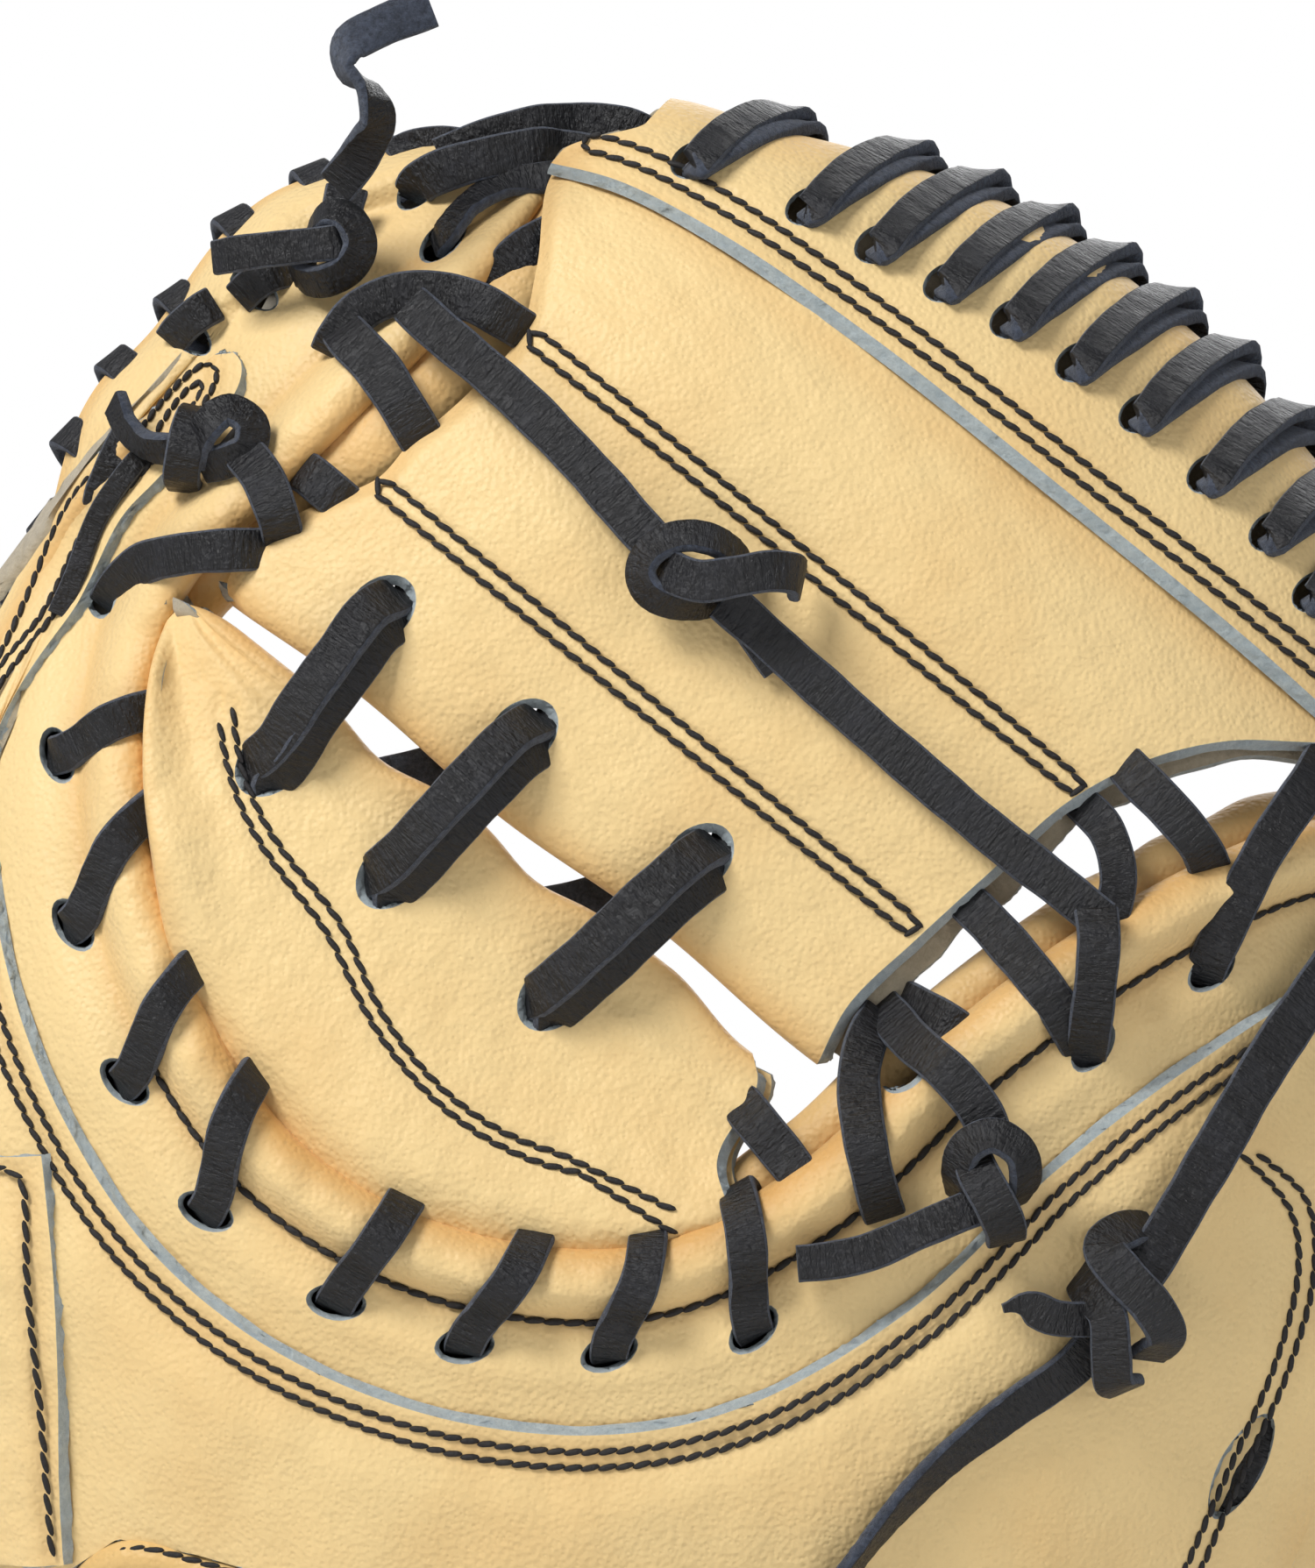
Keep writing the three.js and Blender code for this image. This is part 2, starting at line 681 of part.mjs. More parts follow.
const cutters = Object.values(THREADED).map(([, cutter]) => cutter);
for (const { name, solid, look } of leatherNodes) {
  add(name, largest(cutters.reduce((s, cutter) => s.subtract(cutter), solid)), look);
}
for (const [name, [solid]] of Object.entries(THREADED)) add(name, solid, "lace");

add("web_tie_knot", knot(...webPlan(-19, 14.5), 7, 0.6), "lace");
add("finger_knot_upper", knot(-43, 263, 15, 0.3), "lace");
add("finger_knot_lower", knot(-62, 237, 15, 0.9), "lace");
add("thumb_knot_upper", knot(57, 124, 14.5, 0.2, 5), "lace");
add("thumb_knot_lower", knot(76, 100, 10, -0.8), "lace");
add("loose_lace_tail", looseTail(), "lace");
add("wrist_strap_finger_side", strapPart(-92, RING_X - 6, 0, LEATHER), "leather");
add("wrist_strap_thumb_side", strapPart(RING_X + 6, 68, 0, LEATHER), "leather");
add("wrist_fleece_finger_side", strapPart(-78, RING_X - 8, -4.4, -0.4), "fleece");
add("wrist_fleece_thumb_side", strapPart(RING_X + 8, 52, -4.4, -0.4), "fleece");
add("wrist_tab", strapPart(-60, RING_X - 7, LEATHER + GAP, 2 * LEATHER + GAP), "leather");
add("strap_ring", strapRing(), "ring");
add("thumb_loop", fingerLoop(38, 60, 9), "lace");
add("little_finger_loop", fingerLoop(-60, 60, 9), "lace");

mitt.position.set(-MIDDLE_X, -MIDDLE_Y, 0);
const part = new THREE.Group();
part.add(mitt);
export default part;
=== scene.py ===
"""Looks of the catcher's mitt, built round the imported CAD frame. Shapes are worked out in millimetres."""

import json
import math

import bpy
import numpy as np
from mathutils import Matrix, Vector


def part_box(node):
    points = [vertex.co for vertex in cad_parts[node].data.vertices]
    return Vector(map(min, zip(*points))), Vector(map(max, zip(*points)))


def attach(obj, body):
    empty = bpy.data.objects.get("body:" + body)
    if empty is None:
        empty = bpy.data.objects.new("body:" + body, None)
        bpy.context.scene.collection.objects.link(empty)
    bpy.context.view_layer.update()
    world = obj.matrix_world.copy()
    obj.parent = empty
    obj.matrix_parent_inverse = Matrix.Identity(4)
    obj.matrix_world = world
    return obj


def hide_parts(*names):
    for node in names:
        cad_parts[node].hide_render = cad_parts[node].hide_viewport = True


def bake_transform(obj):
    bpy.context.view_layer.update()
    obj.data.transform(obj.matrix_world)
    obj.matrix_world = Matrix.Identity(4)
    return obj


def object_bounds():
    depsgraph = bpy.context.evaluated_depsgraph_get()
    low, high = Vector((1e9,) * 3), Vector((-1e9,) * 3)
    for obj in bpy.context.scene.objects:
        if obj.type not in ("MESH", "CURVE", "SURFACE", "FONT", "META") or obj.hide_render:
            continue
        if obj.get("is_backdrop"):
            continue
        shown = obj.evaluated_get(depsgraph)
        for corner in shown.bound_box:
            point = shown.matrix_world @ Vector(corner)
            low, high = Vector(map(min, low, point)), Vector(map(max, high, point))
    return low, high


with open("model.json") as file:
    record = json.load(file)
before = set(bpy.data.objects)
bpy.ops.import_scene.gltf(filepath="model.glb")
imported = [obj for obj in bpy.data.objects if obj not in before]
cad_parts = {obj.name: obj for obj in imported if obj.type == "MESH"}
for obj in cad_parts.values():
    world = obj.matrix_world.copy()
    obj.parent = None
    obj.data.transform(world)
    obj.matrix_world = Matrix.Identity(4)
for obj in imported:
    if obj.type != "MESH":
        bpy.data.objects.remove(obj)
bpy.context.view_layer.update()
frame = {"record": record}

# ---------- driving dimensions, mm ----------
CENTRE_Z = 147  # height of the middle of the round outline
RIM_ANGLES = [0, 30, 60, 90, 112, 128, 144, 164, 190, 210, 232, 251, 289, 307, 328, 345, 360]
RIM_RADII = [137, 137, 136, 139, 138, 127, 115, 121, 132, 143, 160, 172, 172, 160, 149, 140, 137]
RIM_FROM, RIM_TO = 94, 373  # compass angles of the rim at the crotch's two ends
WEB_X, WEB_Z, WEB_TILT = 20, 190, math.radians(38)  # the web's own axes: s along it, t to its top
CROTCH = [
    (-75, 52), (-73, 22), (-77, -14), (-79, -40), (-66, -63), (-42, -82), (-14, -91),
    (14, -86), (36, -71), (47, -48), (52, -18), (62, 14), (78, 42), (98, 57),
]
FOLD_TILT = math.radians(15.2)
FOLD_Y = -34
LEATHER = 2.2
LACE = 6.4
STRIP = 26  # width of the strip along the crotch that keeps its own profile
ROLL = 6.2  # radius of the rolled edge
SEAM = 11.3  # from the crotch edge to the seam behind the roll

joint = next(j for j in frame["record"]["behaviour"]["joints"] if j["name"] == "mitt_close")
SHIFT = np.array(joint["pos_m"]) * 1000 - np.array([0, FOLD_Y, 0])
rng = np.random.default_rng(7)


# ---------- plan curves and heights ----------
def smooth(a, b, x):
    k = np.clip((np.asarray(x, float) - a) / (b - a), 0, 1)
    return k * k * (3 - 2 * k)


def mix(a, b, k):
    return a + (b - a) * k


def bell(x, middle, width):
    return np.exp(-(((x - middle) / width) ** 2))


def resample(path, count):
    """Evenly spaced points along a path."""
    steps = np.linalg.norm(np.diff(path, axis=0), axis=1)
    along = np.concatenate([[0], np.cumsum(steps)])
    k = np.linspace(0, along[-1], count)
    return np.stack([np.interp(k, along, path[:, j]) for j in range(path.shape[1])], 1)


def spline(points, count=None, step=1.0):
    """A smooth curve through the points, evenly spaced."""
    p = np.array(points, float)
    p = np.vstack([2 * p[:1] - p[1:2], p, 2 * p[-1:] - p[-2:-1]])
    k = np.linspace(0, 1, 30, endpoint=False)[:, None]
    out = []
    for i in range(1, len(p) - 2):
        p0, p1, p2, p3 = p[i - 1 : i + 3]
        a, b, c = [max(np.linalg.norm(q), 1e-6) ** 0.5 for q in (p1 - p0, p2 - p1, p3 - p2)]
        m1 = p2 - p1 + b * ((p1 - p0) / a - (p2 - p0) / (a + b))
        m2 = p2 - p1 + b * ((p3 - p2) / c - (p3 - p1) / (b + c))
        out.append(
            (2 * k**3 - 3 * k**2 + 1) * p1 + (k**3 - 2 * k**2 + k) * m1
            + (-2 * k**3 + 3 * k**2) * p2 + (k**3 - k**2) * m2
        )
    path = np.vstack(out + [p[-2:-1]])
    if count is None:
        length = np.linalg.norm(np.diff(path, axis=0), axis=1).sum()
        count = max(4, int(length / step))
    return resample(path, count)


def web_plan(s, t):
    c, k = math.cos(WEB_TILT), math.sin(WEB_TILT)
    return WEB_X + s * c + t * k, WEB_Z - s * k + t * c


def rim_radius(degrees):
    a = np.mod(degrees, 360)
    i = np.clip(np.searchsorted(RIM_ANGLES, a, side="right") - 1, 0, len(RIM_ANGLES) - 2)
    low, high = np.array(RIM_ANGLES)[i], np.array(RIM_ANGLES)[i + 1]
    k = (1 - np.cos(math.pi * (a - low) / (high - low))) / 2
    return mix(np.array(RIM_RADII)[i], np.array(RIM_RADII)[i + 1], k)


def rim_plan(degrees, inset=0):
    r = rim_radius(degrees) - inset
    return r * np.cos(np.radians(degrees)), CENTRE_Z + r * np.sin(np.radians(degrees))


ARC_POINTS = 801
ARC = spline([web_plan(*p) for p in CROTCH], ARC_POINTS)
HEADING = np.gradient(ARC, axis=0)
SPREAD = np.hanning(25)
HEADING = np.stack(
    [np.convolve(np.pad(HEADING[:, j], 12, "edge"), SPREAD / SPREAD.sum(), "valid") for j in (0, 1)], 1
)
HEADING /= np.linalg.norm(HEADING, axis=1)[:, None]


def crotch_plan(u, offset=0):
    """A point of the crotch edge moved out into the leather by an offset."""
    k = np.asarray(u, float) * (ARC_POINTS - 1)
    at = np.arange(ARC_POINTS)
    x, z, hx, hz = [np.interp(k, at, c) for c in (ARC[:, 0], ARC[:, 1], HEADING[:, 0], HEADING[:, 1])]
    return x + hz * offset, z - hx * offset


def ring_width(u):
    ax, az = crotch_plan(u)
    bx, bz = rim_plan(mix(RIM_FROM, RIM_TO, u))
    return np.hypot(bx - ax, bz - az)


def narrow(u):
    """How much of the strip's full width there is room for, 0 to 1."""
    return np.minimum(1, 0.62 * ring_width(u) / STRIP)


def share(x, z):
    angle = np.degrees(np.arctan2(z - CENTRE_Z, x))
    return np.hypot(x, z - CENTRE_Z) / rim_radius(angle)


def back_y(x, z):
    return -54 + 50 * share(x, z) ** 3


def web_y(x, z):
    return -47 + 36 * share(x, z) ** 4


def waves(x, z, size, seed, count=7):
    """A smooth, repeatable uneven surface between about -1 and 1."""
    pick = np.random.default_rng(seed)
    total = 0
    for _ in range(count):
        angle = pick.uniform(0, 2 * math.pi)
        rate = 2 * math.pi / (size * pick.uniform(0.7, 1.6))
        total = total + np.sin(rate * (x * math.cos(angle) + z * math.sin(angle)) + pick.uniform(0, 6))
    return total / count**0.5 / 1.2


# ---------- mesh building ----------
def unit(v):
    return v / np.maximum(np.linalg.norm(v, axis=-1, keepdims=True), 1e-9)


class Build:
    """Collects grids of points as one mesh."""

    def __init__(self):
        self.points, self.faces, self.slots, self.tones, self.lengths = [], [], [], [], []
        self.count = 0

    def add(self, points, tone=0.0, length=(0, 0, 0)):
        """Adds points; length says how far along and across its lace each one lies."""
        points = np.asarray(points, float).reshape(-1, 3)
        self.points.append(points)
        self.tones.append(np.broadcast_to(np.asarray(tone, float).reshape(-1), (len(points),)))
        self.lengths.append(np.broadcast_to(np.asarray(length, float), points.shape))
        self.count += len(points)
        return np.arange(self.count - len(points), self.count)

    def quads(self, a, b, c, d, slot=0):
        f = np.stack([a, b, c, d], -1).reshape(-1, 4)
        self.faces.append(f)
        self.slots.append(np.full(len(f), slot))

    def grid(self, p, slot=0, flip=False, wrap=False, tone=0.0, keep=None):
        n, m = p.shape[:2]
        index = self.add(p, tone).reshape(n, m)
        if wrap:
            index = np.concatenate([index, index[:, :1]], 1)
        a, b, c, d = index[:-1, :-1], index[1:, :-1], index[1:, 1:], index[:-1, 1:]
        if flip:
            b, d = d, b
        if keep is None:
            keep = np.ones(a.shape, bool)
        self.quads(a[keep], b[keep], c[keep], d[keep], slot)
        return index

    def mesh(self, name, materials):
        m = bpy.data.meshes.new(name)
        points = (np.vstack(self.points) + SHIFT) * 0.001
        faces = np.vstack(self.faces)
        m.vertices.add(len(points))
        m.vertices.foreach_set("co", points.astype(np.float32).ravel())
        m.loops.add(faces.size)
        m.loops.foreach_set("vertex_index", faces.astype(np.int32).ravel())
        m.polygons.add(len(faces))
        m.polygons.foreach_set("loop_start", np.arange(0, faces.size, 4, dtype=np.int32))
        m.polygons.foreach_set("loop_total", np.full(len(faces), 4, np.int32))
        m.polygons.foreach_set("material_index", np.concatenate(self.slots).astype(np.int32))
        m.polygons.foreach_set("use_smooth", np.ones(len(faces), bool))
        m.update(calc_edges=True)
        # tone holds painted shade on the leather pieces and random wear on the laces.
        tone = m.attributes.new("tone", "FLOAT", "POINT")
        tone.data.foreach_set("value", np.concatenate(self.tones).astype(np.float32))
        length = m.attributes.new("length", "FLOAT_VECTOR", "POINT")
        length.data.foreach_set("vector", np.vstack(self.lengths).astype(np.float32).ravel())
        m.validate()
        for one in materials:
            m.materials.append(one)
        o = bpy.data.objects.new(name, m)
        bpy.context.scene.collection.objects.link(o)
        return o


def normals(p, side):
    """Outward normals of a grid; side is -1 for a surface seen from the back of the mitt."""
    n = unit(np.cross(np.gradient(p, axis=0), np.gradient(p, axis=1)))
    return -n if np.sum(n[..., 1]) * side < 0 else n


def pull(p, n, x, z):
    """Points slid over their own surface to new plan places."""
    ny = np.where(np.abs(n[..., 1]) < 0.3, np.sign(n[..., 1]) * 0.3, n[..., 1])
    y = p[..., 1] - (n[..., 0] * (x - p[..., 0]) + n[..., 2] * (z - p[..., 2])) / ny
    return np.stack([x, y, z], -1)


def oval(x, z, long, short, angle):
    """A hole's outline: middle, half lengths and the direction of its long side."""
    k = np.linspace(0, 2 * math.pi, 24, endpoint=False)
    a, b = long * np.cos(k), short * np.sin(k)
    return np.stack([x + a * math.cos(angle) - b * math.sin(angle),
        z + a * math.sin(angle) + b * math.cos(angle)], 1)


def inside(x, z, outline):
    hit = np.zeros(x.shape, bool)
    for (ax, az), (bx, bz) in zip(outline, np.roll(outline, -1, 0)):
        if az != bz:
            hit ^= ((az > z) != (bz > z)) & (x < (bx - ax) * (z - az) / (bz - az) + ax)
    return hit


def snap(x, z, outline):
    """The nearest points of an outline."""
    best, bx, bz = np.full(x.shape, 1e9), x.copy(), z.copy()
    for a, b in zip(outline, np.roll(outline, -1, 0)):
        d = b - a
        k = np.clip(((x - a[0]) * d[0] + (z - a[1]) * d[1]) / (d @ d), 0, 1)
        qx, qz = a[0] + k * d[0], a[1] + k * d[1]
        gap = np.hypot(x - qx, z - qz)
        near = gap < best
        best, bx, bz = np.where(near, gap, best), np.where(near, qx, bx), np.where(near, qz, bz)
    return bx, bz


def slab(build, top, thick=LEATHER, side=-1, low=None, holes=(), bevel=(0, 0, 0, 0), tone=0.0, flesh=1,
    edge=1, fuzz=0.12):
    """A leather sheet under a grid of points, with walls round its edges and holes.
    bevel is how far the top is cut back at its first row, last row, first column and last column."""
    n = normals(top, side)
    low = top - n * thick if low is None else low
    top = top.copy()
    for cut, here, there in zip(
        bevel,
        ((0, slice(None)), (-1, slice(None)), (slice(None), 0), (slice(None), -1)),
        ((1, slice(None)), (-2, slice(None)), (slice(None), 1), (slice(None), -2)),
    ):
        if cut:
            gap = np.linalg.norm(top[there] - top[here], axis=-1, keepdims=True)
            top[here] += (top[there] - top[here]) * np.minimum(cut / np.maximum(gap, 1e-6), 0.85)
    keep = np.ones((top.shape[0] - 1, top.shape[1] - 1), bool)
    centre = (top[:-1, :-1] + top[1:, 1:]) / 2
    for outline, rim in holes:
        (lx, lz), (hx, hz) = outline.min(0) - rim - 1, outline.max(0) + rim + 1
        middle = outline.mean(0)
        wide = middle + unit(outline - middle) * (np.linalg.norm(outline - middle, axis=1)[:, None] + rim)
        near = (centre[..., 0] > lx) & (centre[..., 0] < hx) & (centre[..., 2] > lz) & (centre[..., 2] < hz)
        gone = np.zeros(keep.shape, bool)
        gone[near] = inside(centre[..., 0][near], centre[..., 2][near], wide)
        here = np.pad(gone, 1)
        kept = np.pad(keep & ~gone, 1)
        any_gone = here[:-1, :-1] | here[1:, :-1] | here[:-1, 1:] | here[1:, 1:]
        any_kept = kept[:-1, :-1] | kept[1:, :-1] | kept[:-1, 1:] | kept[1:, 1:]
        border = any_gone & any_kept
        if border.any():
            x, z = snap(top[border][:, 0], top[border][:, 2], wide)
            top[border] = pull(top[border], n[border], x, z)
            x, z = snap(low[border][:, 0], low[border][:, 2], outline)
            low[border] = pull(low[border], n[border], x, z)
        keep &= ~gone
    face = np.cross(np.gradient(top, axis=0), np.gradient(top, axis=1))
    flip = np.sum(face[..., 1]) * side < 0
    tone = np.broadcast_to(tone, top.shape[:2])
    build.grid(top, 0, flip, tone=tone, keep=keep)
    build.grid(low, flesh, not flip, tone=tone, keep=keep)
    walls(build, top, low, keep, tone, edge, fuzz)


def walls(build, top, low, keep, tone, slot, fuzz):
    rows, cols = top.shape[:2]
    index = np.arange(rows * cols).reshape(rows, cols)
    wide = np.pad(keep, 1)
    pairs = []
    for kept, other, a, b in (
        (wide[1:, 1:-1], wide[:-1, 1:-1], index[:, :-1], index[:, 1:]),
        (wide[:-1, 1:-1], wide[1:, 1:-1], index[:, 1:], index[:, :-1]),
        (wide[1:-1, 1:], wide[1:-1, :-1], index[1:, :], index[:-1, :]),
        (wide[1:-1, :-1], wide[1:-1, 1:], index[:-1, :], index[1:, :]),
    ):
        edge = kept & ~other
        pairs.append(np.stack([a[edge], b[edge]], 1))
    pairs = np.vstack(pairs)
    used, where = np.unique(pairs, return_inverse=True)
    where = where.reshape(-1, 2)
    a, b = top.reshape(-1, 3)[used], low.reshape(-1, 3)[used]
    mark = tone.reshape(-1)[used]
    rings = []
    for k in (0, 0.2, 0.5, 0.8, 1):
        jitter = rng.normal(0, fuzz, a.shape) if 0 < k < 1 else 0
        rings.append(build.add(mix(a, b, k) + jitter, mark))
    for first, second in zip(rings[:-1], rings[1:]):
        build.quads(first[where[:, 0]], first[where[:, 1]], second[where[:, 1]], second[where[:, 0]], slot)


TOP_A = np.array([-0.91, -0.88, -0.80, -0.6, -0.3, 0, 0.3, 0.6, 0.80, 0.88, 0.91])
TOP_F = np.array([0.93, 0.97, 1.0, 1.0, 1.0, 1.0, 1.0, 1.0, 1.0, 0.97, 0.93])
LOW_A = np.array([0.91, 0.99, 1.03, 1.0, 0.9, 0.4, -0.4, -0.9, -1.0, -1.03, -0.99, -0.91])
LOW_F = np.array([0.93, 0.70, 0.1, -0.65, -0.97, -1.0, -1.0, -0.97, -0.65, 0.1, 0.70, 0.93])


def ribbon(build, path, face, width=LACE, thick=2.0, crease=0.06, taper=0.0):
    """A flat lace along a path. face is the way its smooth side looks, one vector or one a point."""
    path = np.asarray(path, float)
    ahead = unit(np.gradient(path, axis=0))
    face = np.broadcast_to(np.asarray(face, float), path.shape)
    face = unit(face - np.sum(face * ahead, 1, keepdims=True) * ahead)
    across = np.cross(ahead, face)
    count = len(path)
    k = np.linspace(0, 1, count)
    phase = rng.uniform(0, 6, 3)
    along = np.cumsum(np.linalg.norm(np.gradient(path, axis=0), axis=1))
    half = width / 2 * (1 + 0.02 * np.sin(along / 3.1 + phase[0]) + 0.012 * np.sin(along / 1.3 + phase[1]))
    half *= 1 - taper * smooth(0.7, 1, k)
    lift = crease * (np.sin(along / 0.45 + phase[2]) * np.sin(along / 1.9 + phase[0]))
    worn = rng.uniform(0, 0.3)

    def rows(side_a, side_f, slot, fuzz):
        a = half[:, None] * side_a
        f = thick / 2 * side_f + np.where(side_f > 0.9, lift[:, None], 0)
        f = f + rng.normal(0, fuzz, f.shape)
        p = path[:, None] + across[:, None] * a[..., None] + face[:, None] * f[..., None]
        length = np.stack([along[:, None] + 0 * a, a, phase[0] * 40 + 0 * a], -1).reshape(-1, 3)
        index = build.add(p, worn, length).reshape(count, -1)
        build.quads(index[:-1, :-1], index[1:, :-1], index[1:, 1:], index[:-1, 1:], slot)
        return p

    top = rows(TOP_A, TOP_F, 0, 0.0)
    low = rows(LOW_A, LOW_F, 1, 0.035)
    for end, flip in ((0, 1), (-1, -1)):
        upper = top[end][::flip]
        lower = resample(low[end][::-1][::flip], len(upper))
        index = build.add(np.stack([upper, mix(upper, lower, 0.5), lower]), worn).reshape(3, -1)
        build.quads(index[:-1, :-1], index[:-1, 1:], index[1:, 1:], index[1:, :-1], 1)


def tube(build, path, radius, sides=16, tone=0.0):
    """A round cord along a path with closed ends."""
    ahead = unit(np.gradient(path, axis=0))
    up = unit(np.array([0.0, -1, 0]) - ahead * (ahead @ np.array([0.0, -1, 0]))[:, None])
    across = np.cross(ahead, up)
    k = np.linspace(0, 2 * math.pi, sides, endpoint=False)
    r = np.broadcast_to(radius, len(path))[:, None, None]
    p = path[:, None] + r * (across[:, None] * np.cos(k)[:, None] + up[:, None] * np.sin(k)[:, None])
    ends = [mix(p[0], path[0], e)[None] for e in (0.999, 0.6)], [mix(p[-1], path[-1],
        e)[None] for e in (0.6, 0.999)]
    p = np.concatenate(ends[0] + [p] + ends[1], 0)
    build.grid(p, wrap=True, tone=tone)


def stitches(build, path, out, pitch=2.6, width=1.0, twist=0.20):
    """A row of thick twisted stitches along a path that lies on a surface facing out."""
    count = max(3, int(np.linalg.norm(np.diff(path, axis=0), axis=1).sum() / pitch) + 1)
    joined = resample(np.concatenate([path, np.broadcast_to(out, path.shape)], 1), count)
    p, out = joined[:, :3], unit(joined[:, 3:])
    middle, out = (p[1:] + p[:-1]) / 2, unit(out[1:] + out[:-1])
    ahead = unit(np.diff(p, axis=0))
    across = np.cross(out, ahead)
    ahead = ahead * math.cos(twist) + across * math.sin(twist)
    across = np.cross(out, ahead)
    long = np.array([-1, -0.8, -0.35, 0.35, 0.8, 1])
    size = np.array([0.15, 0.7, 1, 1, 0.7, 0.15])
    k = np.linspace(0, 2 * math.pi, 7, endpoint=False)
    local_a = np.repeat(long[:, None], 7, 1) * pitch * 0.56
    local_b = size[:, None] * np.cos(k) * width / 2
    local_c = size[:, None] * np.sin(k) * width * 0.42
    q = (
        middle[:, None, None] + ahead[:, None, None] * local_a[..., None]
        + across[:, None, None] * local_b[..., None] + out[:, None, None] * local_c[..., None]
    )
    index = build.add(q).reshape(len(middle), 6, 7)
    index = np.concatenate([index, index[:, :, :1]], 2)
    build.quads(index[:, :-1, :-1], index[:, 1:, :-1], index[:, 1:, 1:], index[:, :-1, 1:])


# ---------- materials ----------
def nodes_of(name):
    m = bpy.data.materials.new(name)
    m.use_nodes = True
    tree = m.node_tree
    return m, tree, tree.nodes["Principled BSDF"]


def node(tree, kind, inputs=None, **settings):
    n = tree.nodes.new(kind)
    for key, value in settings.items():
        setattr(n, key, value)
    for key, value in (inputs or {}).items():
        if isinstance(value, bpy.types.NodeSocket):
            tree.links.new(value, n.inputs[key])
        else:
            n.inputs[key].default_value = value
    return n


def noise(tree, place, scale, detail=3.0, rough=0.55):
    return node(
        tree, "ShaderNodeTexNoise", {"Vector": place, "Scale": scale, "Detail": detail, "Roughness": rough}
    ).outputs["Fac"]


def blend_colour(tree, factor, a, b):
    n = node(tree, "ShaderNodeMix", data_type="RGBA", blend_type="MIX")
    for key, value in (("Factor_Float", factor), ("A_Color", a), ("B_Color", b)):
        socket = next(i for i in n.inputs if i.identifier == key)
        if isinstance(value, bpy.types.NodeSocket):
            tree.links.new(value, socket)
        else:
            socket.default_value = value
    return next(o for o in n.outputs if o.identifier == "Result_Color")


def ramp(tree, value, low, high, a=0.0, b=1.0):
    return node(
        tree, "ShaderNodeMapRange", {"Value": value, "From Min": low, "From Max": high, "To Min": a,
            "To Max": b}
    ).outputs["Result"]


def math_node(tree, operation, a, b):
    return node(tree, "ShaderNodeMath", {0: a, 1: b}, operation=operation).outputs[0]


def bump(tree, height, distance, strength, before=None):
    inputs = {"Height": height, "Distance": distance, "Strength": strength}
    if before is not None:
        inputs["Normal"] = before
    return node(tree, "ShaderNodeBump", inputs).outputs["Normal"]


def leather_material(name, base, warm, roughness=0.5, grain=0.5):
    """Smooth hide: uneven colour, painted shade from the tone attribute making it darker and warmer in
    creases, folds and recesses, a fine pebble grain and faint wrinkles.
    """
    m, tree, shader = nodes_of(name)
    place = node(tree, "ShaderNodeTexCoord").outputs["Object"]
    tone = node(tree, "ShaderNodeAttribute", attribute_name="tone").outputs["Fac"]
    cloudy = noise(tree, place, 28.0, 4.0)
    speckle = noise(tree, place, 700.0, 2.0)
    # tone brings the painted shade set on each piece; the cloudy noise is the hide's own uneven colour.
    warmth = math_node(tree, "ADD", tone, ramp(tree, cloudy, 0.45, 0.8, 0.0, 0.35))
    warmth = node(tree, "ShaderNodeClamp", {"Value": warmth}).outputs[0]
    colour = blend_colour(tree, warmth, (*base, 1), (*warm, 1))
    dark = tuple(c * 0.82 for c in base)
    colour = blend_colour(tree, ramp(tree, speckle, 0.56, 0.78, 0.0, 0.30), colour, (*dark, 1))
    tree.links.new(colour, shader.inputs["Base Color"])
    tree.links.new(ramp(tree, cloudy, 0.3, 0.7, roughness - 0.05, roughness + 0.08),
        shader.inputs["Roughness"])
    pebble = node(tree, "ShaderNodeTexVoronoi", {"Vector": place, "Scale": 1150.0},
        feature="SMOOTH_F1").outputs[0]
    wrinkle = noise(tree, place, 900.0, 3.0, 0.55)
    normal = bump(tree, wrinkle, 0.0005, grain * 0.35)
    normal = bump(tree, pebble, 0.0004, grain * 1.1, normal)
    tree.links.new(normal, shader.inputs["Normal"])
    shader.inputs["Sheen Weight"].default_value = 0.08
    shader.inputs["Specular IOR Level"].default_value = 0.32
    return m


def fuzzy_material(name, base, dark, scale=900.0, strength=0.9, sheen=0.4):
    """Suede, felt or a cut edge: matt fibres with a mottled colour."""
    m, tree, shader = nodes_of(name)
    place = node(tree, "ShaderNodeTexCoord").outputs["Object"]
    fibres = noise(tree, place, scale, 8.0, 0.75)
    patches = noise(tree, place, scale / 6, 4.0)
    both = math_node(tree, "MULTIPLY", ramp(tree, fibres, 0.35, 0.65),
        ramp(tree, patches, 0.2, 0.7, 0.4, 1.0))
    colour = blend_colour(tree, both, (*dark, 1), (*base, 1))
    tree.links.new(colour, shader.inputs["Base Color"])
    shader.inputs["Roughness"].default_value = 0.95
    shader.inputs["Sheen Weight"].default_value = sheen
    shader.inputs["Specular IOR Level"].default_value = 0.1
    tree.links.new(bump(tree, fibres, 0.0009, strength), shader.inputs["Normal"])
    return m


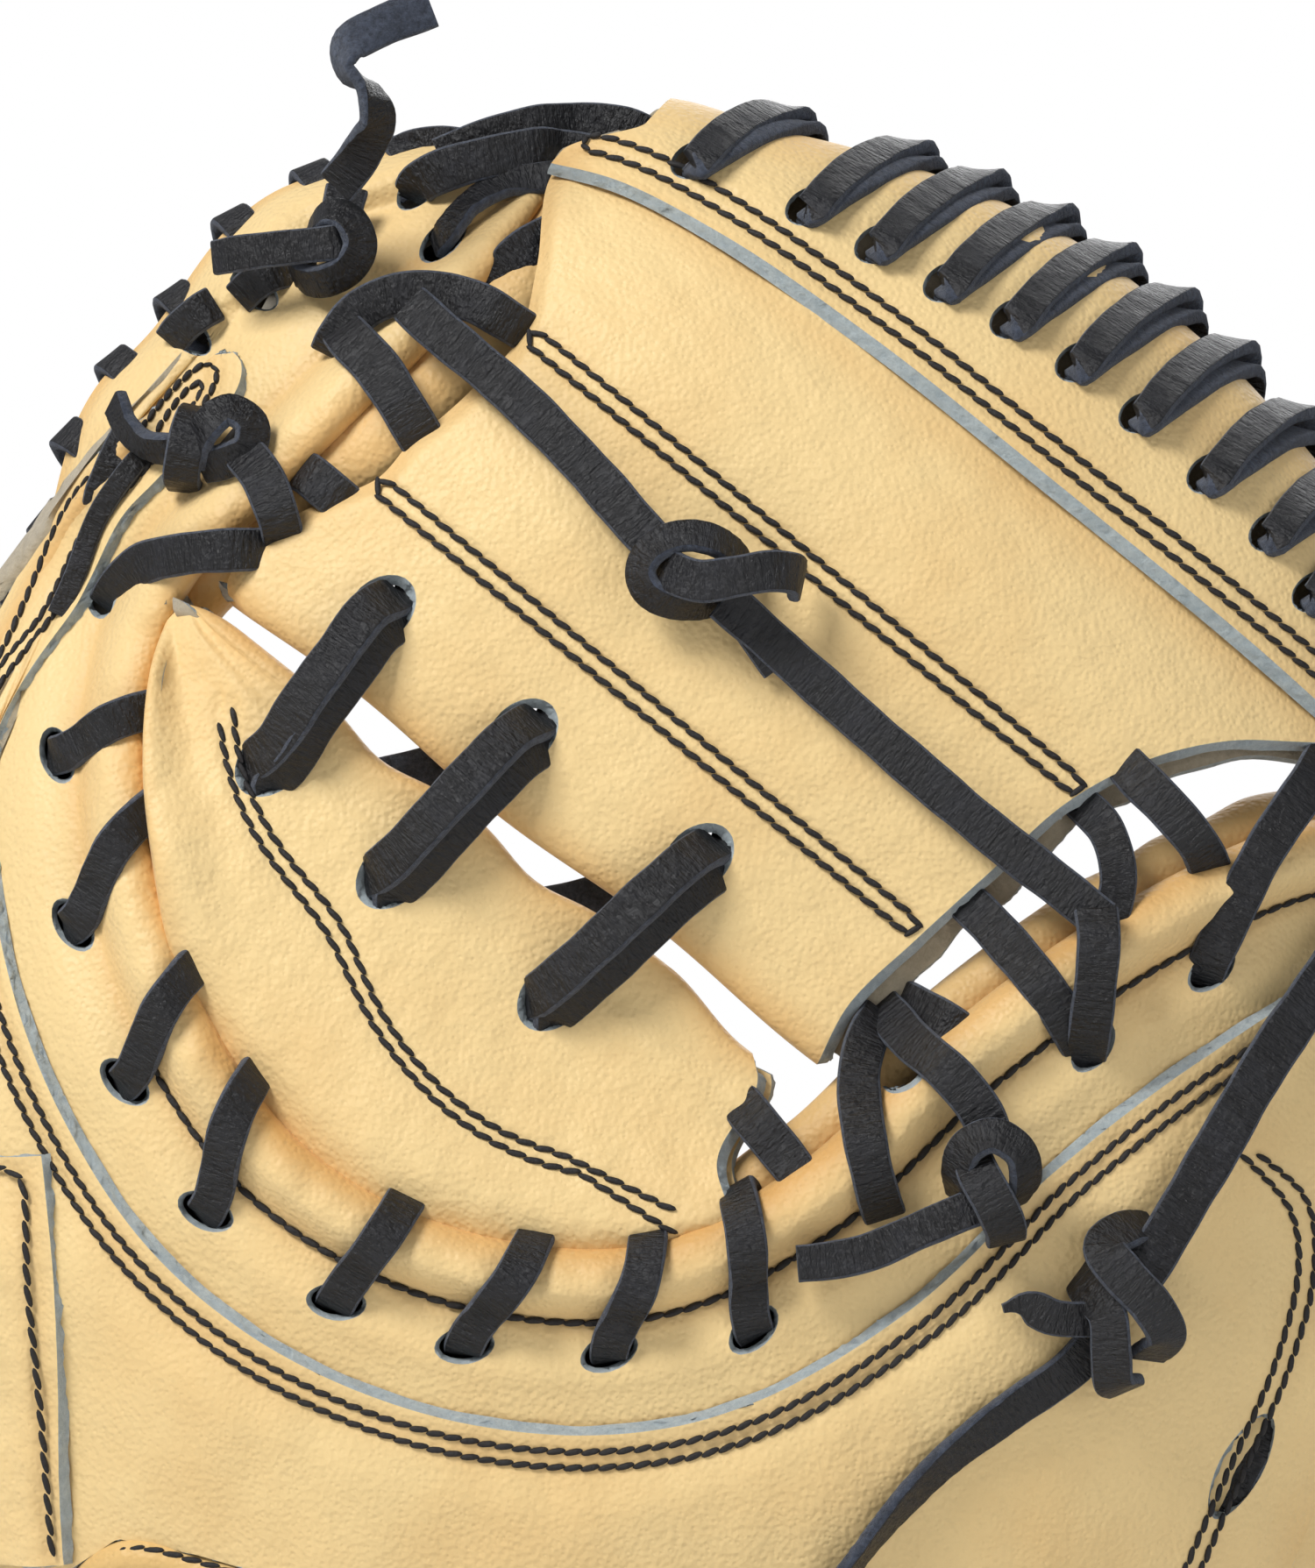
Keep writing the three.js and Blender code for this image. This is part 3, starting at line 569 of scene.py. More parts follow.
def lace_material(name, base, worn, roughness=0.45):
    """Dark rawhide: glossy on its pebbles, with fine cross wrinkles and greyer worn patches."""
    m, tree, shader = nodes_of(name)
    place = node(tree, "ShaderNodeTexCoord").outputs["Object"]
    tone = node(tree, "ShaderNodeAttribute", attribute_name="tone").outputs["Fac"]
    length = node(tree, "ShaderNodeAttribute", attribute_name="length").outputs["Vector"]
    squeeze = {"Vector": length, "Scale": (1.0, 0.22, 1.0)}
    stretched = node(tree, "ShaderNodeMapping", squeeze).outputs["Vector"]
    cross = noise(tree, stretched, 1.5, 3.0, 0.6)
    patches = noise(tree, place, 160.0, 5.0, 0.7)
    amount = math_node(tree, "MULTIPLY", ramp(tree, patches, 0.45, 0.75),
        math_node(tree, "ADD", tone, 0.35))
    tree.links.new(blend_colour(tree, amount, (*base, 1), (*worn, 1)), shader.inputs["Base Color"])
    tree.links.new(ramp(tree, patches, 0.3, 0.7, roughness - 0.08, roughness + 0.14),
        shader.inputs["Roughness"])
    wrinkle = noise(tree, place, 620.0, 6.0, 0.68)
    pebble = node(tree, "ShaderNodeTexVoronoi", {"Vector": place, "Scale": 1500.0},
        feature="SMOOTH_F1").outputs[0]
    normal = bump(tree, ramp(tree, cross, 0.42, 0.62), 0.0005, 0.55)
    normal = bump(tree, wrinkle, 0.0009, 0.5, normal)
    normal = bump(tree, pebble, 0.0003, 0.5, normal)
    tree.links.new(normal, shader.inputs["Normal"])
    shader.inputs["Specular IOR Level"].default_value = 0.45
    return m


TAN, TAN_WARM = (0.83, 0.61, 0.29), (0.66, 0.36, 0.11)
leather = leather_material("leather_blond", TAN, TAN_WARM)
binding_leather = leather_material("leather_binding", (0.74, 0.50, 0.20), (0.55, 0.28, 0.08), 0.48)
cut_edge = fuzzy_material("leather_cut_edge", (0.60, 0.67, 0.68), (0.36, 0.43, 0.46))
suede = fuzzy_material("leather_flesh_side", (0.62, 0.53, 0.38), (0.42, 0.35, 0.24), 600.0)
felt_wool = fuzzy_material("felt_wool", (0.60, 0.55, 0.45), (0.42, 0.37, 0.29), 700.0, 0.8)
lining_suede = fuzzy_material("lining_suede", (0.60, 0.42, 0.20), (0.42, 0.28, 0.12), 500.0, 0.5)
lace_grain = lace_material("lace_grain", (0.0065, 0.006, 0.007), (0.022, 0.023, 0.030), 0.38)
lace_flesh = fuzzy_material("lace_flesh_side", (0.105, 0.128, 0.185), (0.018, 0.022, 0.034), 1100.0, 1.0,
    0.25)
thread = lace_material("thread_black", (0.012, 0.010, 0.010), (0.03, 0.028, 0.03), 0.6)
fleece = fuzzy_material("fleece", (0.035, 0.036, 0.042), (0.008, 0.008, 0.010), 420.0, 1.0, 0.6)
LEATHER_SET = [leather, cut_edge, suede]
LACE_SET = [lace_grain, lace_flesh]


# ---------- helpers for placing pieces ----------
BACK = np.array([0.0, -1.0, 0.0])
FOLD_ACROSS = np.array([math.cos(FOLD_TILT), 0, -math.sin(FOLD_TILT)])


def finish_piece(build, name, materials, replaces=(), body=None):
    """Makes the piece and hides the parts it replaces; given a body it rides on that body, otherwise its
    place is baked into the mesh.
    """
    o = build.mesh(name, materials)
    if body:
        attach(o, body)
    else:
        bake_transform(o)
    if replaces:
        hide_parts(*replaces)


def both(name):
    return f"{name}_finger_part", f"{name}_thumb_part"


def on_back(x, z, h):
    return np.stack([x, back_y(x, z) - h, z], -1)


def on_web(s, t, h=0.0):
    x, z = web_plan(np.asarray(s, float), np.asarray(t, float))
    return np.stack([x, web_y(x, z) - h, z], -1)


def edged(start, stop, step, first=None, last=None):
    """Evenly spaced values, with a wider first or last cell where a cut edge is bevelled."""
    a = start + (first or 0)
    b = stop - (last or 0)
    k = np.linspace(a, b, max(2, int(abs(b - a) / step) + 1))
    return np.concatenate([[start] if first else [], k, [stop] if last else []])


# The strip along the crotch: distance out from the edge and height over the back, mm.
def roll_height(d):
    over = 4.3 * (1 + np.cos(math.pi * np.clip((d - ROLL) / 5.6, 0, 1))) / 2
    return over - 0.8 * bell(d, SEAM, 0.8) + 0.9 * bell(d, 19, 3.2)


def roll_section():
    turn = np.radians(np.linspace(238, 90, 17))
    curl_d = ROLL * (1 + np.cos(turn))
    curl_h = -1.9 + ROLL * np.sin(turn)
    flat = np.arange(ROLL + 0.8, STRIP + 0.1, 0.8)
    return np.concatenate([curl_d, flat]), np.concatenate([curl_h, roll_height(flat)])


STRAP_AT = [0.246, 0.301, 0.359, 0.415, 0.463, 0.511, 0.554, 0.599, 0.640]  # crotch strap holes
# How far each strap leans along the crotch.
STRAP_RUN = [-0.040, -0.023, -0.045, -0.032, -0.029, 0.008, 0.021, 0.022, 0.020]
STRAP_HOLES = [13.0, 14.6, 15.0, 16.2, 17.6, 17.2, 16.8, 15.8, 17.8]  # from the crotch edge


def strip_point(u, d, h):
    f = narrow(u)
    x, z = crotch_plan(u, d * f)
    return on_back(x, z, h * f)


# ---------- the back ----------
OPENING = np.array(
    [(-82, -9), (-84, 30), (-84, 50), (-82, 59), (-74, 64.6), (-62, 62.6), (-46, 58.4), (-10, 56.5),
     (30, 55), (44, 54), (52, 50), (56, 40), (55.5, 20), (54, -9)], float,
)


def finger_plump(u, v):
    """The finger's back swells between the crotch strip and the rim."""
    finger = 4.0 * np.sin(math.pi * v) ** 1.3 * (1 - smooth(0.10, 0.24, u))
    return finger + 2.5 * np.sin(math.pi * v) * smooth(0.80, 0.9, u)


def back_base(u, v):
    """The back between the crotch strip (v 0) and the rim (v 1), without its fine creases."""
    f = narrow(u)
    ax, az = crotch_plan(u, STRIP * f)
    bx, bz = rim_plan(mix(RIM_FROM, RIM_TO, u))
    x, z = mix(ax, bx, v), mix(az, bz, v)
    return x, z, roll_height(STRIP) * f * (1 - smooth(0, 0.15, v)) + finger_plump(u, v)


BIN = 2.5  # mm, the grain of the map of how far the back swells
SWELL_X, SWELL_Z = -180, -20
SWELL_SIZE = (150, 140)


def swell_map():
    x, z, h = back_base(np.linspace(0, 1, 1400)[:, None], np.linspace(0, 1, 260)[None])
    i, j = ((x - SWELL_X) / BIN).astype(int).ravel(), ((z - SWELL_Z) / BIN).astype(int).ravel()
    total, count = np.zeros(SWELL_SIZE), np.zeros(SWELL_SIZE)
    np.add.at(total, (i, j), h.ravel())
    np.add.at(count, (i, j), 1)
    return total / np.maximum(count, 1)


SWELL = swell_map()


def swell(x, z):
    i, j = (np.asarray(x, float) - SWELL_X) / BIN - 0.5, (np.asarray(z, float) - SWELL_Z) / BIN - 0.5
    i, j = np.clip(i, 0, SWELL_SIZE[0] - 2), np.clip(j, 0, SWELL_SIZE[1] - 2)
    a, b = np.floor(i).astype(int), np.floor(j).astype(int)
    p, q = i - a, j - b
    low = mix(SWELL[a, b], SWELL[a + 1, b], p)
    high = mix(SWELL[a, b + 1], SWELL[a + 1, b + 1], p)
    return mix(low, high, q)


def drape(top, x, z, above=0.0):
    """Points at (x, z) laid on a grid of surface points."""
    flat, y = top.reshape(-1, 3), []
    for cx, cz in zip(np.array_split(x, max(1, len(x) // 60)), np.array_split(z, max(1, len(x) // 60))):
        gap = (cx[:, None] - flat[:, 0]) ** 2 + (cz[:, None] - flat[:, 2]) ** 2
        near = np.argpartition(gap, 4, axis=1)[:, :4]
        weight = 1 / (np.take_along_axis(gap, near, 1) + 0.05)
        y.append(np.sum(flat[near, 1] * weight, 1) / weight.sum(1))
    return np.stack([x, np.concatenate(y) - above, z], 1)


def back_grid():
    u = np.linspace(0, 1, 430)
    section_d, section_h = roll_section()
    f = narrow(u)[:, None]
    x1, z1 = crotch_plan(u[:, None], section_d[None] * f)
    pinch = sum(bell(u, at + run * 0.6, 0.008) for at, run in zip(STRAP_AT, STRAP_RUN))[:, None]
    ripple = 0.35 * waves(x1, z1, 9, 3) + 0.25 * waves(x1, z1, 4.5, 4)
    roll_part = bell(section_d, 5, 6)[None]
    h1 = section_h[None] * f * (1 - 0.13 * pinch * roll_part) + ripple * roll_part * 0.7
    # Painted shade: darker and warmer where the roll turns under at the crotch edge and along the seam behind
    # the roll.
    roll_and_seam_shade = 0.75 * bell(section_d, 0.5, 3.5)[None] + 0.35 * bell(section_d, SEAM, 2.2)[None] + 0 * x1
    v = np.linspace(0, 1, 92)[1:][None]
    x2, z2, h2 = back_base(u[:, None], v)
    h2 = h2 + 0.5 * waves(x2, z2, 34, 11) * np.sin(math.pi * v) + 0.18 * waves(x2, z2, 8, 12)
    h2 = h2 + 0.35 * np.sin(np.radians(mix(RIM_FROM, RIM_TO, u[:, None])) * 46) * smooth(0.8, 1, v)
    # Painted shade: darker and warmer towards the rim, where the back turns away.
    rim_shade = 0.5 * smooth(0.82, 1, v) + 0 * x2
    x, z = np.concatenate([x1, x2], 1), np.concatenate([z1, z2], 1)
    h = np.concatenate([h1, h2], 1)
    return np.stack([x, back_y(x, z) - h, np.maximum(z, 0.3)], -1), np.concatenate([roll_and_seam_shade, rim_shade], 1)


def heading_at(u):
    x0, z0 = crotch_plan(u - 0.002)
    x1, z1 = crotch_plan(u + 0.002)
    return math.atan2(z1 - z0, x1 - x0)


def crotch_hole(u, offset, long=3.9, short=2.1):
    x, z = crotch_plan(u, offset)
    return oval(float(x), float(z), long, short, heading_at(u) + 0.35), 0.7


holes = [crotch_hole(u, offset) for u, offset in zip(STRAP_AT, STRAP_HOLES)]
THUMB_HOLES = [(72.5, 141, 0.9), (91, 152.5, 0.7), (44, 138.0, 0.8)]
holes += [(oval(x, z, 3.8, 2.0, a), 0.7) for x, z, a in THUMB_HOLES]
FINGER_HOLES = [(-66.5, 251, -0.75), (-56, 257.5, -0.65), (-30.6, 274.0, 0.9), (-26.6, 265.0, 0.8)]
holes += [(oval(x, z, 4.0, 2.0, a), 0.6) for x, z, a in FINGER_HOLES]
holes.append((OPENING, 0))

b = Build()
top, tone = back_grid()
slab(b, top, holes=holes, tone=tone, flesh=2, edge=1)
finish_piece(b, "back_leather", LEATHER_SET, both("back_leather") + both("crotch_roll"))

# The seam behind the rolled edge.
b = Build()
u = np.linspace(0.412, 0.99, 900)
f = narrow(u)
x, z = crotch_plan(u, SEAM * f)
stitches(b, on_back(x, z, 0.1 * f), BACK, pitch=3.0, width=1.1, twist=0.1)
finish_piece(b, "crotch_seam_thread", [thread])

# The second rolled edge, on the pocket side.
b = Build()
u = np.linspace(0.01, 0.99, 500)
inner = 1 - smooth(0.13, 0.25, u)
x, z = crotch_plan(u, -0.6 - 4.6 * inner)
path = np.stack([x, back_y(x, z) + 11.2 - 2.5 * inner + 0.4 * waves(x, z, 16, 21), z], -1)
# Painted shade: the whole roll is darker and warmer, as it lies back behind the crotch's rolled edge.
tube(b, path, 4.9 + 2.2 * inner + 0.35 * np.sin(u * 160) * bell(np.sin(u * 23), 1, 0.8), 22, tone=0.45)
finish_piece(b, "pocket_roll", [leather], both("pocket_roll"))


# ---------- the overlay ----------
OVERLAY_FROM, OVERLAY_TO = 0.138, 0.985
OVERLAY_LIFT = 2.9


def overlay_edge(k):
    """Distance of the overlay's cut edge from the crotch edge."""
    return 25.5 - 4.5 * (1 - smooth(0, 0.22, k)) + 1.5 * bell(k, 0.5, 0.25) - 2 * smooth(0.8, 1, k)


TONGUE = 0.2  # the share of the overlay's length that is its tongue beside the finger
TONGUE_POINTS = 201
TONGUE_IN = spline([(-59.4, 248.0), (-57.6, 246.0), (-57.6, 242.7), (-60, 238.4), (-64.7, 233.3),
                    (-70.7, 227.3), (-76, 222), (-80.7, 213.3), (-85.1, 204), (-87.7, 194.7),
                    (-89.3, 185.3)], TONGUE_POINTS)
TONGUE_OUT = spline([(-61.5, 247.8), (-65.4, 244.8), (-70.5, 239.9), (-76, 235.0), (-81.5, 228.8),
                     (-86.5, 221.5), (-91.5, 212.5), (-96.5, 202), (-100.5, 191), (-103.5, 181)],
                    TONGUE_POINTS)


def along_tongue(path, k):
    at, steps = np.clip(np.asarray(k, float) / TONGUE, 0, 1) * (TONGUE_POINTS - 1), np.arange(TONGUE_POINTS)
    return np.interp(at, steps, path[:, 0]), np.interp(at, steps, path[:, 1])


def overlay_plan(k, v, past=0.0):
    u = mix(OVERLAY_FROM, OVERLAY_TO, k)
    ax, az = crotch_plan(u, overlay_edge(k) * np.maximum(narrow(u), 0.8) + past)
    bx, bz = rim_plan(mix(RIM_FROM, RIM_TO, u), 15)
    tx, tz = along_tongue(TONGUE_IN, k)
    ox, oz = along_tongue(TONGUE_OUT, k)
    gap = np.hypot(ox - tx, oz - tz)
    own = smooth(0.13, TONGUE, k)
    ax, az = mix(tx + (ox - tx) / gap * past, ax, own), mix(tz + (oz - tz) / gap * past, az, own)
    bx, bz = mix(ox, bx, own), mix(oz, bz, own)
    return mix(ax, bx, v), mix(az, bz, v)


k = np.linspace(0, 1, 420)[:, None]
v = edged(0, 1, 0.0125, first=0.02, last=0.02)[None]
x, z = overlay_plan(k, v)
ax, az = overlay_plan(k, 0 * v)
d = np.hypot(x - ax, z - az)
h = OVERLAY_LIFT + swell(x, z) + 0.6 * waves(x, z, 40, 31) * smooth(2, 20, d) + 0.15 * waves(x, z, 9, 32)
h = h - 0.45 * bell(d, 3.6, 0.9) - 0.45 * bell(d, 6.0, 0.9) + 0.35 * bell(d, 4.8, 0.7)
h = h + 1.2 * smooth(6, 14, d) * (1 - smooth(14, 40, d))
h = h * (1 - 0.15 * (1 - smooth(0, 0.03, k)))
# Painted shade: darker and warmer along the double stitch row, towards the rim and on the tongue's outer side
# beside the raised flap.
tone = 0.25 * bell(d, 4.8, 2.5) + 0.12 * smooth(0.75, 1, v)
tone = tone + 0.35 * bell(k, 0.1, 0.05) * smooth(0.55, 0.9, v)
overlay_holes = [(OPENING * [1.02, 1.0] + [0, 1.2], 0), (oval(96.3, 76, 8.4, 3.0, 1.07), 0.7)]
b = Build()
top = np.stack([x, back_y(x, z) - h, np.maximum(z, 1.0)], -1)
slab(b, top, holes=overlay_holes, bevel=(0.8, 0, 1.1, 0.9), tone=tone, flesh=2, edge=1, fuzz=0.22)
overlay_top = top

# The flap at the side of the index finger, with a broad cut edge.
a = edged(0, 1, 0.02)[:, None]
rim_side = spline([(-104, 196), (-97.5, 207), (-92.6, 216.5), (-87.0, 225.6), (-79.6, 233.6),
    (-74.5, 237.6)], len(a))
inward = unit(np.array([[0.80, -0.60]]) + 0 * rim_side)
reach = edged(0, 8.5, 0.7, first=3.0)[None]
x = rim_side[:, :1] - 0.6 + inward[:, :1] * reach
z = rim_side[:, 1:] + 0.5 + inward[:, 1:] * reach
h = 4.2 + swell(x, z) - 2.8 * smooth(3, 8.5, reach) - 2.6 * (1 - smooth(0, 3.4, reach))
# Painted shade on the flap where it curls down.
flap_shade = 0.75 * bell(reach, 5, 2.6) + 0 * x
slab(b, on_back(x, z, h), bevel=(0.5, 0.5, 2.6, 0), tone=flap_shade, flesh=2, edge=1, fuzz=0.2)
finish_piece(b, "back_overlay", LEATHER_SET, both("back_overlay"))


def overlay_row(past, low, high):
    """A stitch row that keeps a fixed distance from the overlay's cut edge."""
    k = np.linspace(low, high, 700)
    x, z = overlay_plan(k, 0 * k, past)
    return drape(overlay_top, x, z, 0.25)


b = Build()
for past, low, high in ((3.6, 0.055, 0.93), (6.0, 0.065, 0.925)):
    stitches(b, overlay_row(past, low, high), BACK)
# The two rows turn round the tip of the tongue.
for arch in (
    [(-64.8, 237.3), (-62.0, 242.1), (-61.4, 244.7), (-63.4, 246.0), (-67.2, 243.4), (-70.2, 240.0),
     (-73.6, 235.4)],
    [(-67.0, 236.4), (-63.9, 241.4), (-63.6, 243.2), (-65.4, 242.6), (-68.2, 239.6), (-71.0, 235.2)],
):
    bend = spline(arch, step=0.8)
    stitches(b, drape(overlay_top, bend[:, 0], bend[:, 1], 0.25), BACK, pitch=2.0)
# The thumb side's double seam that runs on down from the end of the U.
for off in (0, 2.6):
    row = spline([(98 - off, 124.5), (106.0 - off, 117 - off * 0.6), (107.4 - off, 106), (103.5 - off, 91),
                  (97 - off, 76), (90 - off, 60), (83 - off, 42)], step=1)
    stitches(b, drape(overlay_top, row[:, 0], row[:, 1], 0.25), BACK)
row = spline([(-96, 200), (-92.0, 209.6), (-88.0, 219.6), (-83.5, 226.8), (-78.2, 231.2)], step=1)
stitches(b, on_back(row[:, 0], row[:, 1], 4.1 + swell(row[:, 0], row[:, 1])), BACK)
finish_piece(b, "overlay_thread", [thread])


# ---------- the web ----------
TOP_RADIUS, TOP_S, TOP_T = 137, 11, -47


def web_top(s):
    return np.sqrt(TOP_RADIUS**2 - (s - TOP_S) ** 2) + TOP_T + 4.5 * smooth(-50, -74, s)


def curve_of(points):
    """A smooth function through a few (position, value) pairs."""
    path = spline(points, 200)
    return lambda q: np.interp(q, path[:, 0], path[:, 1])


PANEL_LOW, PANEL_HIGH = -33.5, 59
panel_left = curve_of([(-34, -72), (-31, -75.5), (-24, -76), (-14, -72), (-5, -67), (3, -66.5), (9, -65),
                       (16, -64), (25, -63.5), (36, -68.5), (49, -76), (60, -74)])
panel_right = curve_of([(-34, 42), (-24, 40), (-10, 42), (5, 44.5), (20, 47.2), (33, 53), (43, 61),
                        (50, 70), (60, 84)])
# Height, slope and both ends of each stitched oval.
OVALS = ((24.6, -0.03, -61.5, 45.5), (-7.7, -0.03, -65.5, 38.8))
OVAL_HALF = 1.35
FOLD_R = 2.5  # radius of a folded edge


def oval_groove(s, t):
    total = 0
    for height, slope, a, c in OVALS:
        off = t - (height + slope * s)
        along = smooth(a - 1, a + 1, s) * (1 - smooth(c - 1, c + 1, s))
        rows = bell(off, OVAL_HALF, 0.7) + bell(off, -OVAL_HALF, 0.7) - 0.5 * bell(off, 0, 0.8)
        total = total + along * rows
    return total


def panel_billow(s, t):
    """The panel's low swell: it puffs between its seams and dips where laces pull it."""
    swell = 1.5 * bell(t, 40, 13) + 1.3 * bell(t, 8, 11) + 1.1 * bell(t, -22, 9)
    return swell * (1 - 0.35 * bell(s, -70, 14)) + 0.45 * waves(s, t, 38, 41) + 0.13 * waves(s, t, 7, 42)


def main_panel_grid():
    turn = np.linspace(math.pi * 0.97, 0, 12)
    fold_t = PANEL_LOW + FOLD_R - FOLD_R * np.sin(turn)
    fold_h = -FOLD_R * (1 - np.cos(turn))
    rows_t = np.concatenate([fold_t, np.arange(PANEL_LOW + FOLD_R + 0.8, PANEL_HIGH, 0.8)])
    rows_h = np.concatenate([fold_h, np.zeros(len(rows_t) - len(fold_h))])
    k = edged(0, 1, 0.0066, last=0.018)[:, None]
    t = rows_t[None] + 0 * k
    s = mix(panel_left(t), panel_right(t), k)
    t = t + 0.7 * np.sin((s + 6) / 9.2) * bell(rows_t, PANEL_LOW, 7)[None]
    flat = smooth(PANEL_LOW, PANEL_LOW + 6, rows_t)[None]
    left = 1 - smooth(0, 0.035, k)
    h = rows_h[None] + panel_billow(s, t) * (0.35 + 0.65 * flat) - 0.5 * oval_groove(s, t) - 2.6 * left**2
    # Painted shade: darker and warmer at the folded lower edge, in the stitched ovals' grooves, along the
    # left edge where the panel dips and under the band at its top.
    tone = 0.5 * bell(rows_t, PANEL_LOW + 1, 3.2)[None] + 0.30 * oval_groove(s, t) + 0.35 * left
    tone = tone + 0.25 * bell(t, 54, 3.5)
    return on_web(s, t, h), tone


# Each joining loop: s, upper t, lower t, lower s.
JOINS = ((-54, -20.5, -49, -53), (-25.5, -22, -51, -28), (7, -20.5, -50.5, 2.5))
join_holes_top = [(oval(*map(float, web_plan(s, t)), 4.6, 3.1, 0.75), 1.5) for s, t, _, _ in JOINS]
join_holes_low = [(oval(*map(float, web_plan(s, t)), 4.6, 3.1, 0.75), 1.5) for _, _, t, s in JOINS]

b = Build()
top, tone = main_panel_grid()
slab(b, top, holes=join_holes_top, bevel=(0, 1.5, 0, 0), tone=tone, flesh=2, edge=1, fuzz=0.15)
finish_piece(b, "web_main_panel", LEATHER_SET, both("web_main_panel"))

b = Build()
k = edged(0, 1, 0.009)[:, None]
t = np.arange(PANEL_LOW + FOLD_R, PANEL_HIGH, 1.2)[None] + 0 * k
s = mix(panel_left(t) + 2.5, panel_right(t) + 3.4 + 0.6 * np.sin(t / 3.7) + 0.4 * np.sin(t / 1.9), k)
h = -2 * FOLD_R + LEATHER - 2.6 * (1 - smooth(0, 0.03, k)) - 0.9 * smooth(0.9, 1, k)
slab(b, on_web(s, t, h + 0.2 * waves(s, t, 20, 44)), holes=join_holes_top, bevel=(0, 0.5, 0, 0), tone=0.1,
    flesh=0)
finish_piece(b, "web_inner_panel", [suede, cut_edge, leather], both("web_inner_panel"))


def oval_path(height, slope, a, c):
    s = np.arange(a, c, 1.0)
    turn = np.linspace(-math.pi / 2, math.pi / 2, 8)[1:-1]
    centre = height + slope * s
    row = [np.stack([s, centre - OVAL_HALF], 1)]
    row.append(np.stack([c + OVAL_HALF * np.cos(turn), height + slope * c + OVAL_HALF * np.sin(turn)], 1))
    row.append(np.stack([s, centre + OVAL_HALF], 1)[::-1])
    row.append(np.stack([a - OVAL_HALF * np.cos(turn), height + slope * a - OVAL_HALF * np.sin(turn)], 1))
    return np.vstack(row + [row[0][:1]])


b = Build()
for each in OVALS:
    row = oval_path(*each)
    stitches(b, on_web(row[:, 0], row[:, 1], panel_billow(row[:, 0], row[:, 1]) + 0.1), BACK, pitch=2.9)
finish_piece(b, "web_panel_thread", [thread])

# The half-moon panel: folded along its upper edge, tucked behind the rolled edge below.
MOON_FROM, MOON_TO = 0.240, 0.642


def moon_point(a, v, h=0.0):
    s = mix(-80, 33.2, a)
    corner = 4.6 * (1 - np.sqrt(1 - (0.96 * np.clip((-69 - s) / 11, 0, 1)) ** 2))
    gap = sum(bell(s, m, 8) for m in (-40, -10.5)) * 2.2 + 2.6 * smooth(14, 30, s)
    top_t = -36.2 - gap - corner
    right = 1.8 * np.sin(v * 9) * smooth(0.93, 1, a)
    tx, tz = web_plan(s, top_t)
    front = 1 - smooth(0.24, 0.44, a)
    bx, bz = crotch_plan(mix(MOON_FROM, MOON_TO, a), mix(4.0, 1.0, front))
    x, z = mix(tx, bx, v) + right, mix(tz, bz, v)
    room = smooth(2, 16, np.hypot(bx - tx, bz - tz))
    over = front * room * (4.8 * smooth(0.62, 0.93, v) - 8.0 * smooth(0.955, 1.0, v) ** 1.5)
    over = over - (1 - front) * 3.4 * smooth(0.80, 1, v)
    y = mix(web_y(x, z), np.minimum(web_y(x, z), back_y(x, z)), smooth(0.3, 0.9, v))
    return np.stack([x, y - h - over, z], -1)


def moon_billow(p):
    return 0.5 * waves(p[..., 0], p[..., 2], 40, 51) + 0.13 * waves(p[..., 0], p[..., 2], 7, 52)


def moon_seam(past, count=500):
    """The moon's stitch row, a fixed distance in from the crotch edge."""
    u = np.linspace(0.262, 0.600, count)
    x, z = crotch_plan(u, 0)
    cx, cz = web_plan(-24, -40)
    depth = 9.0 + 13.5 * bell(u, 0.44, 0.13) + past
    length = np.hypot(cx - x, cz - z)
    return x + (cx - x) / length * depth, z + (cz - z) / length * depth


seam_x, seam_z = moon_seam(0)
seam_x2, seam_z2 = moon_seam(2.5)

b = Build()
turn = np.linspace(math.pi * 0.97, 0, 12)
a = edged(0, 1, 0.0066, last=0.016)[:, None]
edge, inward = moon_point(a, 0.0), moon_point(a, 0.1)
step_in = unit((inward - edge) * [1, 0, 1])
width = np.linalg.norm((moon_point(a, 1.0) - edge) * [1, 0, 1], axis=-1, keepdims=True)
fold_r = FOLD_R * smooth(1, 14, width) * np.sqrt(0.05 + 0.95 * smooth(-0.02, 0.11, a))[..., None]
fold_in, fold_back = ((1 - f(turn))[None, :, None] for f in (np.sin, np.cos))
fold = edge + step_in * fold_r * fold_in - BACK * fold_r * fold_back
v = np.linspace(0, 1, 62)[1:][None]
start = np.minimum(fold_r[..., 0] / np.maximum(width[..., 0], 1), 0.4)
body_part = moon_point(a + 0 * v, start + (1 - start) * v)
top = np.concatenate([fold, body_part], 1)
flat = np.concatenate([np.full(len(turn), 0.2), smooth(0, 0.25, v[0])])[None]
puff = 1.6 * bell(flat, 0.85, 0.4) * flat * smooth(1, 14, width[..., 0])
h = moon_billow(top) * flat + puff
for sx, sz in ((seam_x, seam_z), (seam_x2, seam_z2)):
    near = np.full(top.shape[:2], 99.0)
    for i in range(0, len(sx), 4):
        near = np.minimum(near, np.hypot(top[..., 0] - sx[i], top[..., 2] - sz[i]))
    h = h - 0.5 * bell(near, 0, 0.9)
h = h - 2.6 * (1 - smooth(0, 0.09, a)) ** 2
top[..., 1] -= h
